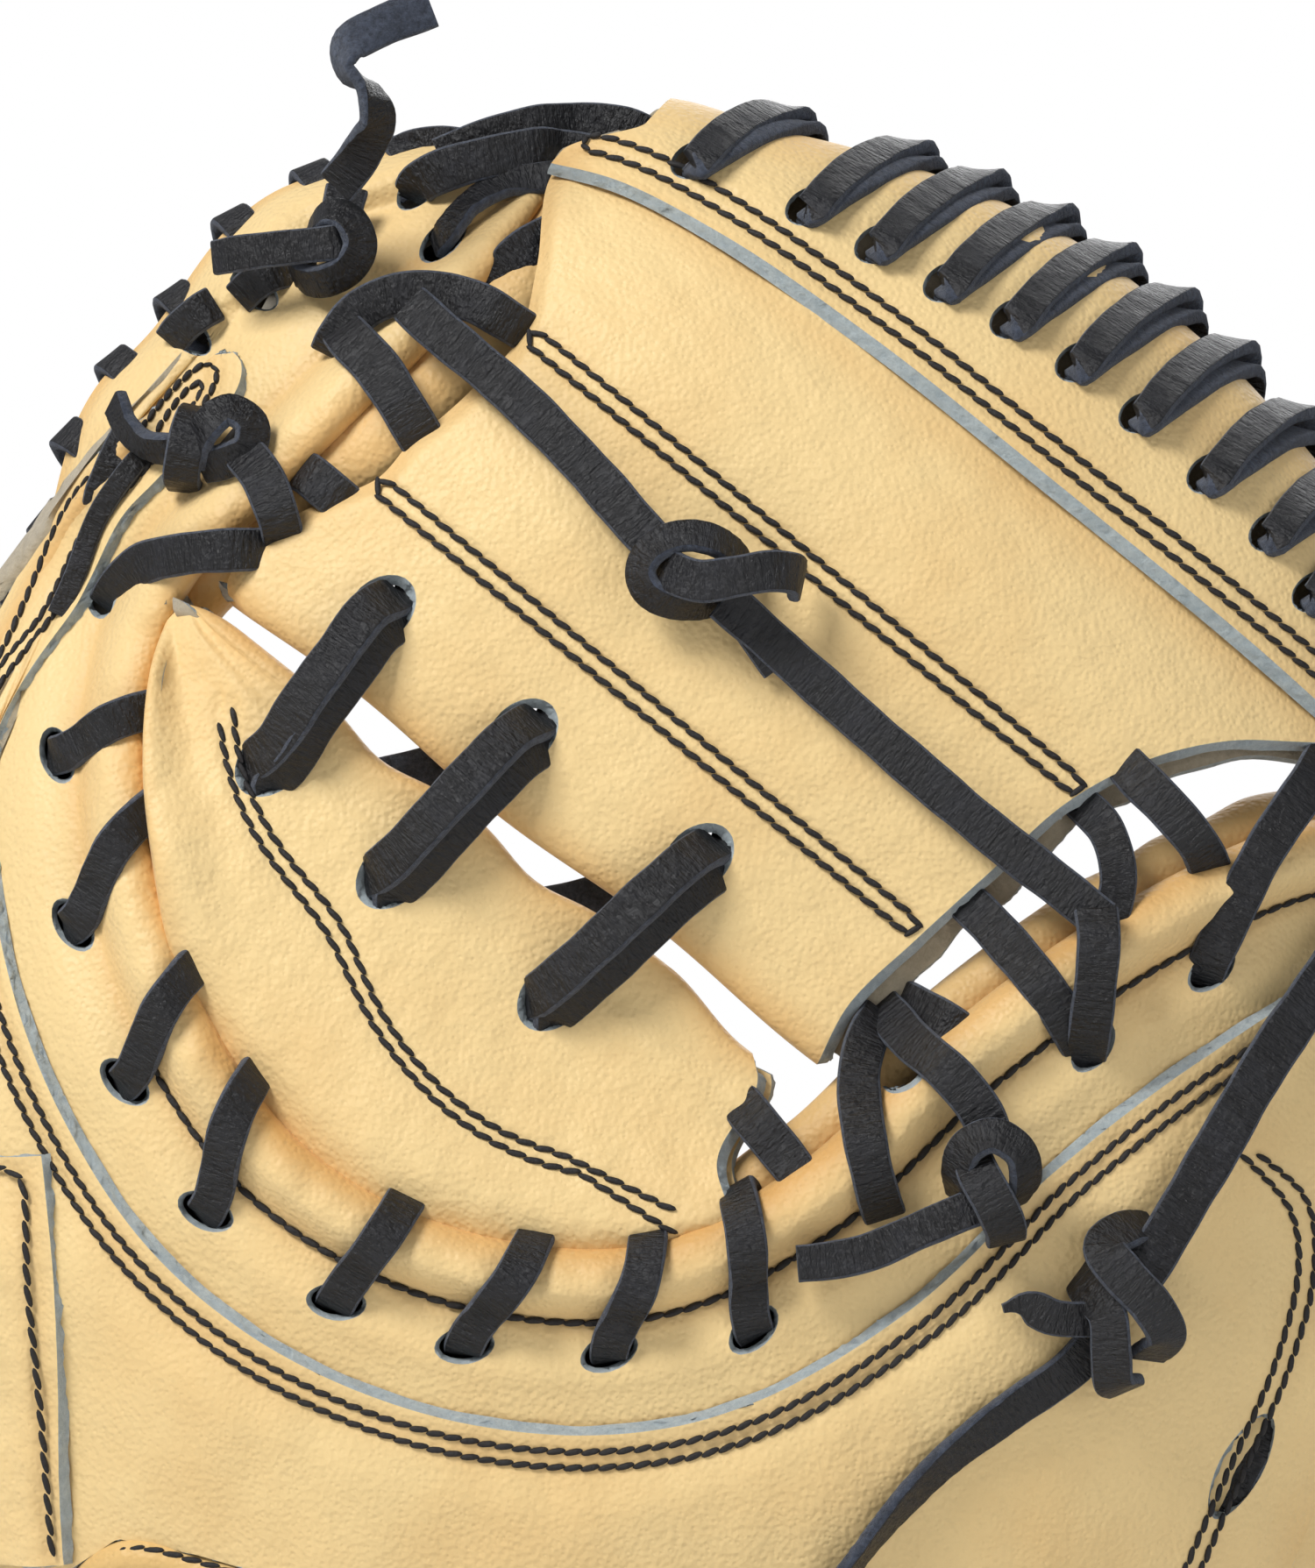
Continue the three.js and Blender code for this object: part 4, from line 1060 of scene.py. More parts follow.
# Painted shade: darker and warmer at the folded upper edge and where the moon tucks in behind the rolled
# edge.
tucked_shade = smooth(0.86, 1, np.linspace(0, 1, top.shape[1]))
tone = 0.55 * bell(np.arange(top.shape[1]), 6, 7)[None] + 0.45 * tucked_shade[None] + 0 * a
slab(b, top, holes=join_holes_low, bevel=(0, 1.5, 0, 0), tone=tone, flesh=2, edge=1, fuzz=0.15)
inner_a = edged(0.07, 1, 0.012)
inner = moon_point(inner_a[:, None], np.linspace(0.08, 0.93, 40)[None], -2 * FOLD_R + LEATHER)
inner = inner + np.array([1.3, 0, -0.4]) * smooth(0.9, 1, inner_a)[:, None, None]
slab(b, inner, holes=join_holes_low, bevel=(0, 0.5, 0, 0), tone=0.1, flesh=0)
finish_piece(b, "half_moon_panel", LEATHER_SET, ["half_moon_panel"])
moon_top = top

b = Build()
for past, low, high in ((0.0, 20, 500), (2.5, 4, 492)):
    x, z = moon_seam(past)
    row = drape(moon_top, x, z, 0.2)[low:high]
    end = np.array([web_plan(39 - past * 0.9, -67 + past)[0], 0, web_plan(39 - past, -67 + past)[1]])
    foot = spline([row[-1], mix(row[-1], end, 0.5), end], step=1)
    foot = drape(moon_top, foot[:, 0], foot[:, 2], 0.2)
    stitches(b, np.vstack([row, foot[1:]]), BACK, pitch=2.9)
finish_piece(b, "half_moon_thread", [thread])


# The band folded over the web's top edge.
BAND_THICK = 2.0
BAND_FRONT = 0.44  # the share of the band that lies on the back, below its fold
band_edge = curve_of([(-80, 48.5), (-76, 50), (-66, 53.6), (-50, 56), (-20, 57.2), (15, 56.7), (50, 56.2),
    (92, 55)])
TOP_HOLES = [-59.5, -41, -29, -17, -5.5, 6.5, 19, 33, 46, 57, 67.5]  # the laced holes of the band
BAND_REACH = 5.2


def hole_drop(q):
    """How far below the web's top edge a laced hole lies."""
    return 14.2 - 6.6 * smooth(-15, -62, q) - 2.5 * smooth(25, 50, q)


def band_point(s, v, extra=0.0):
    """v runs from the band's cut edge up the back, over the top and down the pocket side."""
    low, top = band_edge(s), web_top(s) - BAND_REACH + 1.8
    turn = np.pi * np.clip((v - BAND_FRONT) / 0.12, 0, 1)
    t = mix(low, top, np.minimum(1, np.minimum(v, 1 - v) / BAND_FRONT))
    puff = 1.3 * bell(v, 0.30, 0.14) + 0.5 * waves(s, v * 60, 36, 61)
    rope = 0.3 * bell(v, 0.42, 0.08) * sum(bell(s, q + 5.5, 3.6) for q in TOP_HOLES)
    reach = BAND_REACH + 0.9 + puff + rope + extra
    x, z = web_plan(s, t + reach * np.sin(turn))
    return np.stack([x, web_y(x, z) - reach * np.cos(turn) + 2.6, z], -1)


s_low = np.linspace(0, 1, 230)[:, None]
v = np.concatenate([[0, 0.03], np.arange(0.045, BAND_FRONT, 0.012), np.linspace(BAND_FRONT, 0.56, 17),
    np.arange(0.575, 0.96, 0.02)])[None]
s = mix(-77.5, 91, s_low) + 0 * v
left_cut = (1 - smooth(0, 0.08, s_low)) * (7.5 * smooth(0.12, BAND_FRONT, np.minimum(v, 1 - v)) ** 1.5)
s = s + left_cut
seam_gap = v * (web_top(s) - BAND_REACH - band_edge(s)) / BAND_FRONT
groove = bell(seam_gap, 3.6, 0.8) + bell(seam_gap, 6.2, 0.8)
groove = groove * smooth(-77, -73, s) * (v < 0.5)
top = band_point(s, v, -0.5 * groove - 1.2 * bell(s, -77, 3.0))
band_holes = []
for q in TOP_HOLES:
    x, z = web_plan(q, web_top(q) - hole_drop(q))
    band_holes.append((oval(float(x), float(z), 3.9, 2.5, 0.5), 0.5))
# Painted shade: darker and warmer in the stitch grooves, along the fold over the top, at the pinched left end
# and at the lower cut edge.
tone = 0.25 * groove + 0.35 * bell(v, 0.5, 0.06) + 0.3 * bell(s, -77, 4) + 0.25 * bell(seam_gap, 0, 2)
b = Build()
front = np.argmax(v[0] > 0.5)
slab(b, top[:, : front + 1], BAND_THICK, holes=band_holes, bevel=(0.6, 0, 1.5, 0),
    tone=tone[:, : front + 1], flesh=2)
slab(b, top[:, front:], BAND_THICK, side=1, bevel=(0.6, 0, 0, 1.0), tone=tone[:, front:], flesh=2)
finish_piece(b, "web_top_band", LEATHER_SET, both("web_top_band"))

b = Build()
for gap in (3.6, 6.2):
    s = np.arange(-73.5, 88, 1.0)
    v = gap * BAND_FRONT / (web_top(s) - BAND_REACH - band_edge(s))
    stitches(b, band_point(s, v, 0.05), BACK, pitch=2.9)
s = np.array([-73.5, -75.0, -75.3, -75.0, -73.5])
v = np.array([3.6, 3.9, 4.9, 5.9, 6.2]) * BAND_FRONT / (web_top(s) - BAND_REACH - band_edge(s))
stitches(b, band_point(s, v, 0.05), BACK, pitch=1.7)
finish_piece(b, "web_band_thread", [thread])


# ---------- the pocket side ----------
PEAK_COLUMN = 42  # the grid line along the rim's crest, where its seam runs
# How far the rim stands over the pocket, and its crest's distance from the edge.
PAD_RISE, PAD_PEAK = 46, 28


def front_grid():
    u = np.linspace(0, 1, 380)[:, None]
    v = np.linspace(0, 1, 84)[None]
    ax, az = crotch_plan(u, -1.0)
    bx, bz = rim_plan(mix(RIM_FROM, RIM_TO, u))
    x, z = mix(ax, bx, v), mix(az, bz, v)
    width = ring_width(u)
    edge = back_y(ax, az) + 12.5
    palm = mix(edge, -14, smooth(0, 38, v * width))
    base = mix(palm, 2.2, smooth(0.55, 1, v))
    peak = np.maximum(0.42, 1 - PAD_PEAK / width)
    rise = PAD_RISE * smooth(6, 46, width)
    rise = rise + 1.5 * np.sin(u * 34)
    bump = rise * np.sin(math.pi * v ** (math.log(0.5) / np.log(peak)))
    crease = 1.1 * waves(x, z, 30, 71) * np.sin(math.pi * v) + 0.25 * waves(x, z, 7, 72)
    pleats = 0.8 * np.sin(np.radians(mix(RIM_FROM, RIM_TO, u)) * 30)
    pleats = pleats * smooth(0.72, 0.95, v) * (1 - smooth(0.95, 1, v))
    seam = 0.9 * bell(v * width, width * 0.5, 1.1)
    y = base + bump + crease + pleats - seam
    # Painted shade: darker and warmer towards the rim and the crotch edge and along the crest seam.
    tone = 0.35 * smooth(0.8, 1, v) + 0.25 * smooth(0.3, 0, v)
    tone = tone + 0.25 * bell(v * width, width * 0.5, 2.5) + 0 * u
    fold = x * FOLD_ACROSS[0] + z * FOLD_ACROSS[2]
    pocket_crease = bell(fold, 0, 3.5) * smooth(0.1, 0.35, v) * (1 - smooth(0.9, 1, v))
    y = y - 3.2 * pocket_crease
    # The pocket crease gets painted shade too.
    return np.stack([x, y, np.maximum(z, 0.0)], -1), tone + 0.4 * pocket_crease


b = Build()
top, tone = front_grid()
slab(b, top, side=1, tone=tone, flesh=2, edge=0)
finish_piece(b, "palm_leather", LEATHER_SET, both("palm_leather"))

# The felt pad that fills the rim. It leaves room for the hand, but cuts the pocket leather in places.
b = Build()
felt_top = (top - normals(top, 1) * (LEATHER + 2.4))[12:-12, 28:64]
felt_top[..., 2] = np.maximum(felt_top[..., 2], 7.0)
x, z = felt_top[..., 0], felt_top[..., 2]
over_hand = smooth(-94, -86, x) * smooth(66, 58, x) * smooth(76, 68, z)
felt_low = felt_top.copy()
felt_low[..., 1] = np.minimum(back_y(x, z) + mix(6.0, 28.0, over_hand), felt_top[..., 1] - 1.5)
slab(b, felt_top, side=1, low=felt_low, tone=0.2, flesh=0, edge=0)
finish_piece(b, "felt_pad", [felt_wool], both("felt_pad"))

b = Build()
n = normals(top, 1)
out = n[8:-8, PEAK_COLUMN]
stitches(b, top[8:-8, PEAK_COLUMN] + out * 0.2, out, pitch=3.4)
finish_piece(b, "palm_seam_thread", [thread])

# The hand's lining: a shallow bowl behind the opening.
b = Build()
x = np.linspace(-84, 56, 110)[:, None]
arch = np.interp(x, [-84, -78, -62, -46, -10, 30, 48, 56], [49, 62, 64.5, 60.5, 58.5, 57, 52, 40])
z = mix(2.0, arch + 3, np.linspace(0, 1, 60)[None])
depth = np.minimum(np.minimum(x + 84, 56 - x), arch + 3 - z)
h = -(3.2 + 20.5 * smooth(0, 20, depth)) + 0.7 * waves(x, z, 26, 81)
slab(b, on_back(x + 0 * z, z, h), 1.4, tone=0.2, flesh=0, edge=0)
finish_piece(b, "hand_lining", [lining_suede], both("hand_lining"))

# The binding round the hand opening.
b = Build()
path = spline([(-80.5, 2), (-82, 30), (-82, 50), (-80, 58), (-73.5, 62.6), (-62, 60.6), (-46, 56.6),
               (-10, 54.8), (30, 53.4), (43, 52.2), (50, 48.5), (54, 39), (54, 20), (52.5, 2)], step=1.2)
path = on_back(path[:, 0], path[:, 1], 1.4 + 0.35 * np.sin(np.arange(len(path)) / 2.6))
tube(b, path, 3.3, 18, tone=0.15)
finish_piece(b, "opening_binding", [binding_leather], both("opening_binding"))
b = Build()
stitches(b, path + [0, -2.7, 1.9] * np.ones((len(path), 3)), BACK, pitch=3.0)
finish_piece(b, "binding_thread", [thread])


# ---------- laces ----------
def front_y(x, z):
    """Where the mitt's back lies, whether leather or web."""
    x, z = np.broadcast_arrays(np.asarray(x, float), np.asarray(z, float))
    near = np.argmin((x[..., None] - ARC[:, 0]) ** 2 + (z[..., None] - ARC[:, 1]) ** 2, axis=-1)
    out = (x - ARC[near, 0]) * HEADING[near, 1] - (z - ARC[near, 1]) * HEADING[near, 0]
    return mix(back_y(x, z) - swell(x, z), web_y(x, z), smooth(5, -5, out))


def strap(build, points, width=LACE, thick=2.0, face=None, step=0.8, taper=0.0):
    """A lace through (x, z, height over the back) points."""
    p = spline(points, step=step)
    path = np.stack([p[:, 0], front_y(p[:, 0], p[:, 1]) - p[:, 2], p[:, 1]], 1)
    if face is None:
        face = BACK
    else:
        face = spline(np.array(face, float), len(path))
    ribbon(build, path, face, width, thick, taper=taper)


def band(build, middle, points, width=5.8, outward=0.55, thick=1.9):
    """A lace bent round a knot's middle: its smooth side looks away from the middle and to the back."""
    p = spline(points, step=0.5)
    path = np.stack([p[:, 0], front_y(*middle[:2]) - p[:, 2], p[:, 1]], 1)
    away = np.stack([p[:, 0] - middle[0], middle[2] - p[:, 2], p[:, 1] - middle[1]], 1)
    ribbon(build, path, unit(away) + BACK * outward, width, thick)


def lace_piece(name, replaces=(), body=None):
    finish_piece(b, name, LACE_SET, replaces, body)


# Crotch lace: out of each hole, over the rolled edge and down behind the web.
SECTION = [(0.0, 18.2, -3.2), (0.0, 17.0, 0.2), (0.06, 14.6, 1.5), (0.20, 11.6, 2.7), (0.36, 8.8, 5.0),
           (0.52, 6.0, 6.0), (0.66, 3.2, 5.2), (0.78, 0.4, 2.7), (0.86, -1.3, -0.6), (0.90, -1.7, -4.0),
           (0.94, 0.0, -7.4), (0.98, 4.0, -9.4), (1.0, 9.0, -9.8)]


def crotch_strap(build, u, run, hole):
    rows = spline([(du * abs(run) * 400, d, h) for du, d, h in SECTION], 46)
    past_roll = np.maximum(rows[:, 1] - ROLL, 0)
    rows[:, 1] += past_roll * ((hole + 1 - ROLL) / (SECTION[0][1] - ROLL) - 1)
    rows = np.stack([u + np.sign(run) * rows[:, 0] / 400, rows[:, 1], rows[:, 2]], 1)
    path = np.array([strip_point(*row) for row in rows])
    x0, z0 = crotch_plan(rows[:, 0], 0)
    x1, z1 = crotch_plan(rows[:, 0], 1)
    out = np.stack([x1 - x0, 0 * x0, z1 - z0], 1)
    face = out * (rows[:, 1:2] - ROLL) * smooth(13.5, 10, rows[:, 1:2]) + BACK * (rows[:, 2:3] + 4.5)
    ribbon(build, path, face, 5.9)


b = Build()
for u, run, hole in list(zip(STRAP_AT, STRAP_RUN, STRAP_HOLES))[1:]:
    crotch_strap(b, u, run, hole)
lace_piece("crotch_lace", both("crotch_lace"))

# Finger end of the web.
b = Build()
strap(b, [(-43.5, 247, 1), (-42.4, 249.0, 4), (-38.2, 253.6, 6.6), (-30.5, 256.2, 6.8), (-22, 254.6, 5),
    (-16, 251.4, 0.5), (-11, 248.4, -6)])
strap(b, [(-42.6, 251.6, 2.5), (-40.2, 248.6, 6.4), (-36.4, 244.6, 5.4), (-33.0, 239.6, 2.6),
    (-30.0, 234.6, -1.5), (-27, 229.6, -7)], 7.0)
strap(b, [(-59.0, 233.5, 2), (-56.6, 231.4, 6.6), (-53.4, 227.4, 7.4), (-51.0, 221.6, 4.0),
    (-50.2, 217.6, -2)])
strap(b, [(-49.6, 229.6, -4), (-46.6, 228.0, -0.6), (-43.4, 225.4, -0.6), (-40, 222.8, -4)])
strap(b, [(-78.6, 208.6, -3), (-76.8, 211.0, 1.4), (-72.5, 214.4, 4.6), (-66, 215.7, 6.4),
          (-59, 216.2, 4.5), (-54.5, 216.4, 0.4), (-51, 216.6, -5)])
strap(b, [(-27.4, 264.2, -2), (-26.0, 266.2, 1.2), (-22.6, 270.6, 3.0), (-17.0, 274.0, 3.4),
    (-11, 275, 1.6), (-6, 275.6, -3)], 5.0,
      face=[(-0.5, -1, 0.5), (-0.6, -0.7, 0.7), (-0.4, -0.8, 0.6), (-0.2, -1, 0.4), (0, -1, 0.2),
      (0, -1, 0.2)])
strap(b, [(-31.4, 272.6, -2), (-30.4, 274.4, 1.8), (-26.0, 276.4, 4.4), (-18.5, 278.4, 5.2),
    (-12, 279.8, 3.2), (-7.4, 279.8, -2.0), (-3, 279, -6)], 6.6)
strap(b, [(-27.5, 279.0, 0.0), (-21.5, 281.6, 2.4), (-13.5, 284.0, 3.0), (-6, 285.2, 0.4), (1, 284.6, -5),
    (9, 281.0, -10)], 5.4)
strap(b, [(-36, 279.4, -4), (-32.5, 281.2, -0.6), (-27.5, 281.8, 0.6), (-22, 281.0, -2.5)], 4.6)
strap(b, [(-20, 255.8, -6), (-17.5, 259.5, -3.5), (-13.5, 263.4, -3), (-9, 266, -5)])
lace_piece("web_lace_finger_end", ["web_lace_finger_end"], "finger_side")

# Thumb end of the web.
b = Build()
strap(b, [(13.0, 139.0, -9), (16.8, 135.6, -5), (20.2, 131.4, 1.2), (23.6, 127.4, 3.8), (27.6, 122.4, 2.0),
    (29.6, 119.0, -3)])
strap(b, [(40.6, 145.6, -3), (38.4, 142.6, 1.2), (36.9, 136.5, 5.6), (37.6, 128, 6.6), (39.6, 119.5, 3.2),
    (41.2, 114.8, -2)])
strap(b, [(32.5, 153.0, -13), (38.0, 150.4, -11), (42.4, 148.4, -7), (46.0, 146.8, -1), (50.0, 144.8, 2.6),
    (53.6, 142.4, -2.0)])
strap(b, [(39.6, 148.2, -8), (42.0, 145.4, -0.6), (45.0, 142.0, 4.6), (50.4, 137.4, 7.4),
    (54.8, 132.0, 7.6), (57, 127, 7)])
strap(b, [(75.6, 186.5, -4), (78.8, 182.4, 1.2), (84, 177.0, 4.6), (88.6, 171.6, 4.2), (91.5, 166.5, -1)])
strap(b, [(111, 187.5, -2), (106.4, 181.0, 3.4), (99.4, 171.2, 5.8), (94.2, 161.4, 3.4), (90.6, 153.8, 0.8),
    (89.6, 150.6, -3)])
strap(b, [(51.5, 164.8, -5), (57, 159.4, 1.5), (63.4, 151.8, 4.5), (69.0, 144.0, 2.2), (71.8, 139.0, -2.4)])
strap(b, [(70.5, 178.5, -4), (74.8, 173.4, 1.0), (76.4, 166.5, 2.4), (74.8, 160, 1.5), (72, 154.5, -2)],
    width=5.6)
lace_piece("web_lace_thumb_end", ["web_lace_thumb_end"], "thumb_side")


# The lace whipped over the web's top edge.
WHIP_K = [0, 0.14, 0.55, 0.85, 1]
WHIP_TURN = [-0.35, 0.0, 0.62, 1.35, 1.75]  # under the hole, up the back, over the edge, down the pocket side


def top_strap(build, q, aside, face_out, width, rise):
    k = np.linspace(0, 1, 70)
    s = q + 0.6 + aside * smooth(0.05, 0.4, k) + 13.0 * smooth(0.20, 0.86, k)
    phase = np.interp(k, WHIP_K, WHIP_TURN)
    reach = BAND_REACH + rise
    down = np.where(phase < 0, hole_drop(q) + 0.6, np.where(phase > 1, 13.2 * (phase - 1), 0))
    turn = np.pi * np.clip(phase, 0, 1)
    start = (hole_drop(q) - 2.6) * (1 - smooth(0, 0.62, np.clip(phase, 0, 1)))
    below = np.where(phase < 1, start, down)
    t = web_top(s) - BAND_REACH + 1.8 - below + reach * np.sin(turn) * (phase > 0)
    t = t - 0.45 * aside * smooth(0, 0.3, k)
    depth = reach * np.cos(turn) - 2.6
    depth = np.where(phase < 0, depth + phase * 16, depth)
    x, z = web_plan(s, t)
    path = resample(np.stack([x, web_y(x, z) - depth, z], 1), 50)
    up = np.array([math.sin(WEB_TILT), 0, math.cos(WEB_TILT)])
    along = np.array([math.cos(WEB_TILT), 0, -math.sin(WEB_TILT)])
    tt = np.interp(np.linspace(0, 1, 50), k, turn)
    face = BACK * (np.cos(tt) + 0.25)[:, None] + up * np.sin(tt)[:, None] - along * 0.25
    ribbon(build, path, face * face_out, width, 2.2)


b = Build()
for q in TOP_HOLES:
    top_strap(b, q, 0.0, 1, 5.6, 5.2)
    top_strap(b, q, 3.2, -1, 4.4, 4.5)
lace_piece("web_top_lace", both("web_top_lace"))

# Three loops that join the half-moon to the main panel.
b = Build()
for s, t, low_t, low_s in JOINS:
    points = [(s + 2.6, t + 2.6, -4.5), (s + 1.6, t + 2.0, -0.6), (s + 0.1, t - 1.6, 3.8),
        (mix(s, low_s, 0.35), mix(t, low_t, 0.35), 6.6),
              (mix(s, low_s, 0.65), mix(t, low_t, 0.65), 6.4), (low_s + 0.2, low_t + 2.4, 4.0),
              (low_s - 0.6, low_t - 1.4, 1.6),
              (low_s - 1.0, low_t - 2.8, -2.4), (low_s - 0.6, low_t - 2.6, -6.0)]
    p = spline(points, step=0.8)
    for shift, lift, broad in ((2.6, -1.2, 6.0), (-1.2, 0.6, 6.6)):
        path = on_web(p[:, 0] + shift, p[:, 1] - shift * 0.4, p[:, 2] + lift)
        ribbon(b, path, BACK + np.array([0.22 * shift, 0, 0.1]), broad, 2.4)
s0 = [(-47, -50, -9), (-38, -40, -11), (-27, -26, -9)]
for move in (0, 32):
    p = spline([(s + move, t, h) for s, t, h in s0], step=1)
    ribbon(b, on_web(p[:, 0], p[:, 1], p[:, 2]), -BACK, 6.0, 2.0)
lace_piece("web_joining_lace", ["web_joining_lace"], "finger_side")

# The flat tie lace across the web.
b = Build()
p = spline([(-79.5, 18.9, 5.5), (-74, 18.4, 5.2), (-58, 17.6, 4.2), (-42, 15.4, 4.3), (-31, 13.2, 6.0),
    (-27, 12.6, 7.0)], step=0.7)
ribbon(b, on_web(p[:, 0], p[:, 1], p[:, 2]), BACK, 6.6, 2.2, crease=0.16)
p = spline([(-14, 12.4, 6.6), (-9, 12.2, 5.6), (0, 11.6, 4.4), (20, 10.4, 4.0), (40, 9.6, 4.4),
    (54, 9.6, 6.0), (60.5, 9.4, 7.4)], step=0.8)
ribbon(b, on_web(p[:, 0], p[:, 1], p[:, 2]), BACK, 6.4, 2.0)
strap(b, [(72.6, 161.6, 7.9), (72.8, 158, 9.2), (72.4, 151, 7.4), (71.8, 144.5, 4.4), (71.4, 140.5, 0.6),
    (71.2, 138, -3)])
lace_piece("web_tie_lace", both("web_tie_lace") + ("web_tie_lace_middle",))

b = Build()
middle = (11.5, 212.6, 5)
band(b, middle, [(20.0, 211.6, 3.5), (18.6, 214.8, 6.4), (15.2, 217.2, 9.0), (10.6, 217.9, 9.6),
    (6.2, 216.2, 9.2), (4.2, 213.0, 9.0),
                 (5.0, 209.9, 9.0), (8.2, 207.9, 8.4), (12.6, 207.5, 6.4), (17.0, 208.4, 4.0)], 5.2, 0.5)
band(b, (17, 211, 4), [(6.8, 214.6, 6.0), (9.0, 212.4, 10.2), (13.2, 211.0, 12.4), (18.6, 211.7, 13.4),
    (23.4, 212.5, 12.4),
                       (27.2, 212.2, 9.0), (27.8, 211.2, 5.0)], 6.2, 0.9)
strap(b, [(17.6, 208.6, 5), (19.0, 205.9, 5.4), (21.2, 202.6, 4.6), (24.6, 198.0, 3.6)], 4.4)
lace_piece("web_tie_knot", ["web_tie_knot"], "finger_side")

# Knots and tails at the finger's tip.
b = Build()
middle = (-43.5, 263.2, 8)
band(b, middle, [(-47, 262, 4), (-46.4, 266.2, 8), (-43.6, 268.6, 11), (-40.6, 267.4, 12),
    (-39.0, 263.6, 12), (-40.6, 260.2, 12),
                 (-43.9, 258.2, 12), (-47.0, 258.2, 10), (-49.2, 260, 6)], 5.4)
strap(b, [(-41.2, 264.4, 9), (-43.0, 263.8, 13.2), (-48, 263.3, 13.8), (-55, 262.6, 13.2),
    (-61.4, 262.0, 13.4)], 5.4)
strap(b, [(-42.8, 267.5, 6.5), (-42.2, 270, 6.0), (-41.6, 273.0, 5.0)], 6.4)
lace_piece("finger_knot_upper", ["finger_knot_upper"], "finger_side")

b = Build()
middle = (-61.5, 233.2, 7)
strap(b, [(-64, 232.2, 8), (-67.6, 232.0, 8.4), (-71.9, 232.9, 8.4), (-75.3, 235.8, 9.2),
    (-77.0, 239.6, 10.4)], 5.4,
      face=[(0.2, -1, -0.5), (0, -0.9, -0.6), (-0.3, -0.75, -0.7), (-0.7, -0.6, -0.4), (-0.8, -0.6, -0.1)])
band(b, (-65.4, 232.2, 5), [(-64.0, 238.0, 4), (-64.4, 236.6, 9.4), (-65.3, 232.2, 12.4),
    (-66.2, 227.9, 9.4), (-66.0, 226.4, 4)], 5.7, 0.2)
band(b, (-58.6, 232.4, 5), [(-63.5, 230.6, 5), (-62.4, 234.8, 9.4), (-58.8, 237.8, 9.6), (-55.2, 235.6, 10),
    (-55.6, 232.0, 10),
                            (-59.4, 230.0, 8.4), (-63, 229.4, 5.5)], 5.4, 0.3)
lace_piece("finger_knot_lower", ["finger_knot_lower"], "finger_side")

b = Build()
low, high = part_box("loose_lace_tail")
p = spline([(-42.4, 272.6, 0), (-38.6, 276.8, 0.8), (-35.8, 281.6, 0.8), (-37.2, 286.2, 0),
    (-40.6, 289.0, -0.6), (-40.4, 292.4, 0),
            (-35.2, 295.6, 0.2), (-27.6, 298.6, 0)], step=0.7)
tail_y = low.y * 1000 - SHIFT[1] - 1
sink = 13.5 * (1 - smooth(270, 284, p[:, 1]))
path = np.stack([p[:, 0], tail_y + sink - p[:, 2], p[:, 1]], 1)
twist = np.interp(np.linspace(0, 1, len(p)), [0, 0.25, 0.5, 0.68, 0.85, 1], [0.0, 0.4, 1.6, 2.6, 3.1, 3.2])
ribbon(b, path, np.stack([np.sin(twist), -np.cos(twist), 0.2 * np.sin(twist)], 1), 6.2, 2.0)
lace_piece("loose_lace_tail", ["loose_lace_tail"], "loose_tail")

# Knots and laces on the thumb.
b = Build()
band(b, (56.5, 122.6, 5), [(52.2, 118.6, 4), (51.4, 122.6, 8.4), (52.8, 126.6, 10.6), (56.6, 128.4, 11.4),
    (60.6, 126.0, 11.0),
                           (61.6, 121.4, 8.6), (59.8, 117.8, 4)], 5.4, 0.5)
band(b, (56.5, 119, 4), [(53.6, 125.4, 6), (54.6, 122.4, 11.6), (56.8, 118.4, 12.4), (58.6, 114.4, 9.6),
    (58.8, 112.6, 6.4)], 6.2, 0.9)
strap(b, [(58, 118.8, 6.8), (53.4, 117.2, 7.4), (46.6, 114.3, 6.0), (38, 110.6, 5.0), (32, 109.4, 4.8),
    (27.6, 109.0, 4.8)], 5.6,
      face=[(0.1, -1, 0.2), (0.1, -1, 0.3), (0, -1, 0.3), (0.1, -1, 0.2), (0, -1, 0.1), (0, -1, 0.1)])
lace_piece("thumb_knot_upper", ["thumb_knot_upper"], "thumb_side")

b = Build()
strap(b, [(122, 168, 2), (116, 160.5, 6.5), (107, 149.5, 8.6), (98.8, 138.4, 8.8), (90.4, 124.6, 8.8),
    (82.6, 112.0, 9.4), (77.6, 104.6, 9.8)], 7.0)
lace_piece("long_thumb_lace", ["long_thumb_lace"], "thumb_side")
b = Build()
strap(b, [(73, 97.5, 7.4), (69, 92.8, 6.4), (60, 86.6, 5.4), (50, 79.0, 5.2), (41.5, 70.2, 5.2),
    (34, 60.4, 5.4), (29, 52, 5.2)], 6.0,
      face=[(0.5, -0.9, 0.3), (0.45, -0.55, -0.5), (0.55, -0.35, -0.7), (0.55, -0.35, -0.7),
      (0.6, -0.35, -0.6), (0.6, -0.4, -0.6), (0.5, -0.6, -0.5)])
lace_piece("long_thumb_lace_tail", ["long_thumb_lace_tail"], "thumb_side")

b = Build()
middle = (77, 103.4, 5)
band(b, middle, [(81.4, 113.6, 4), (77.2, 113.8, 8.4), (73.6, 111.4, 11.4), (76.2, 107.4, 13.4),
    (80.6, 102.6, 13.0), (83.0, 97.8, 10.4),
                 (80.4, 94.6, 6.0)], 6.4, 0.9)
band(b, middle, [(70.4, 107.6, 5), (71.4, 104.6, 9.4), (74.0, 101.4, 12.2), (74.6, 95.6, 12.2),
    (75.2, 90.8, 9.6), (77.4, 90.0, 5.6)], 6.0, 0.9)
strap(b, [(76, 101, 6), (71.2, 100.4, 8.6), (66, 100.8, 8.8), (61.4, 102.8, 8.0), (58.4, 102.2, 7.6)], 5.4,
    taper=0.75)
lace_piece("thumb_knot_lower", ["thumb_knot_lower"], "thumb_side")


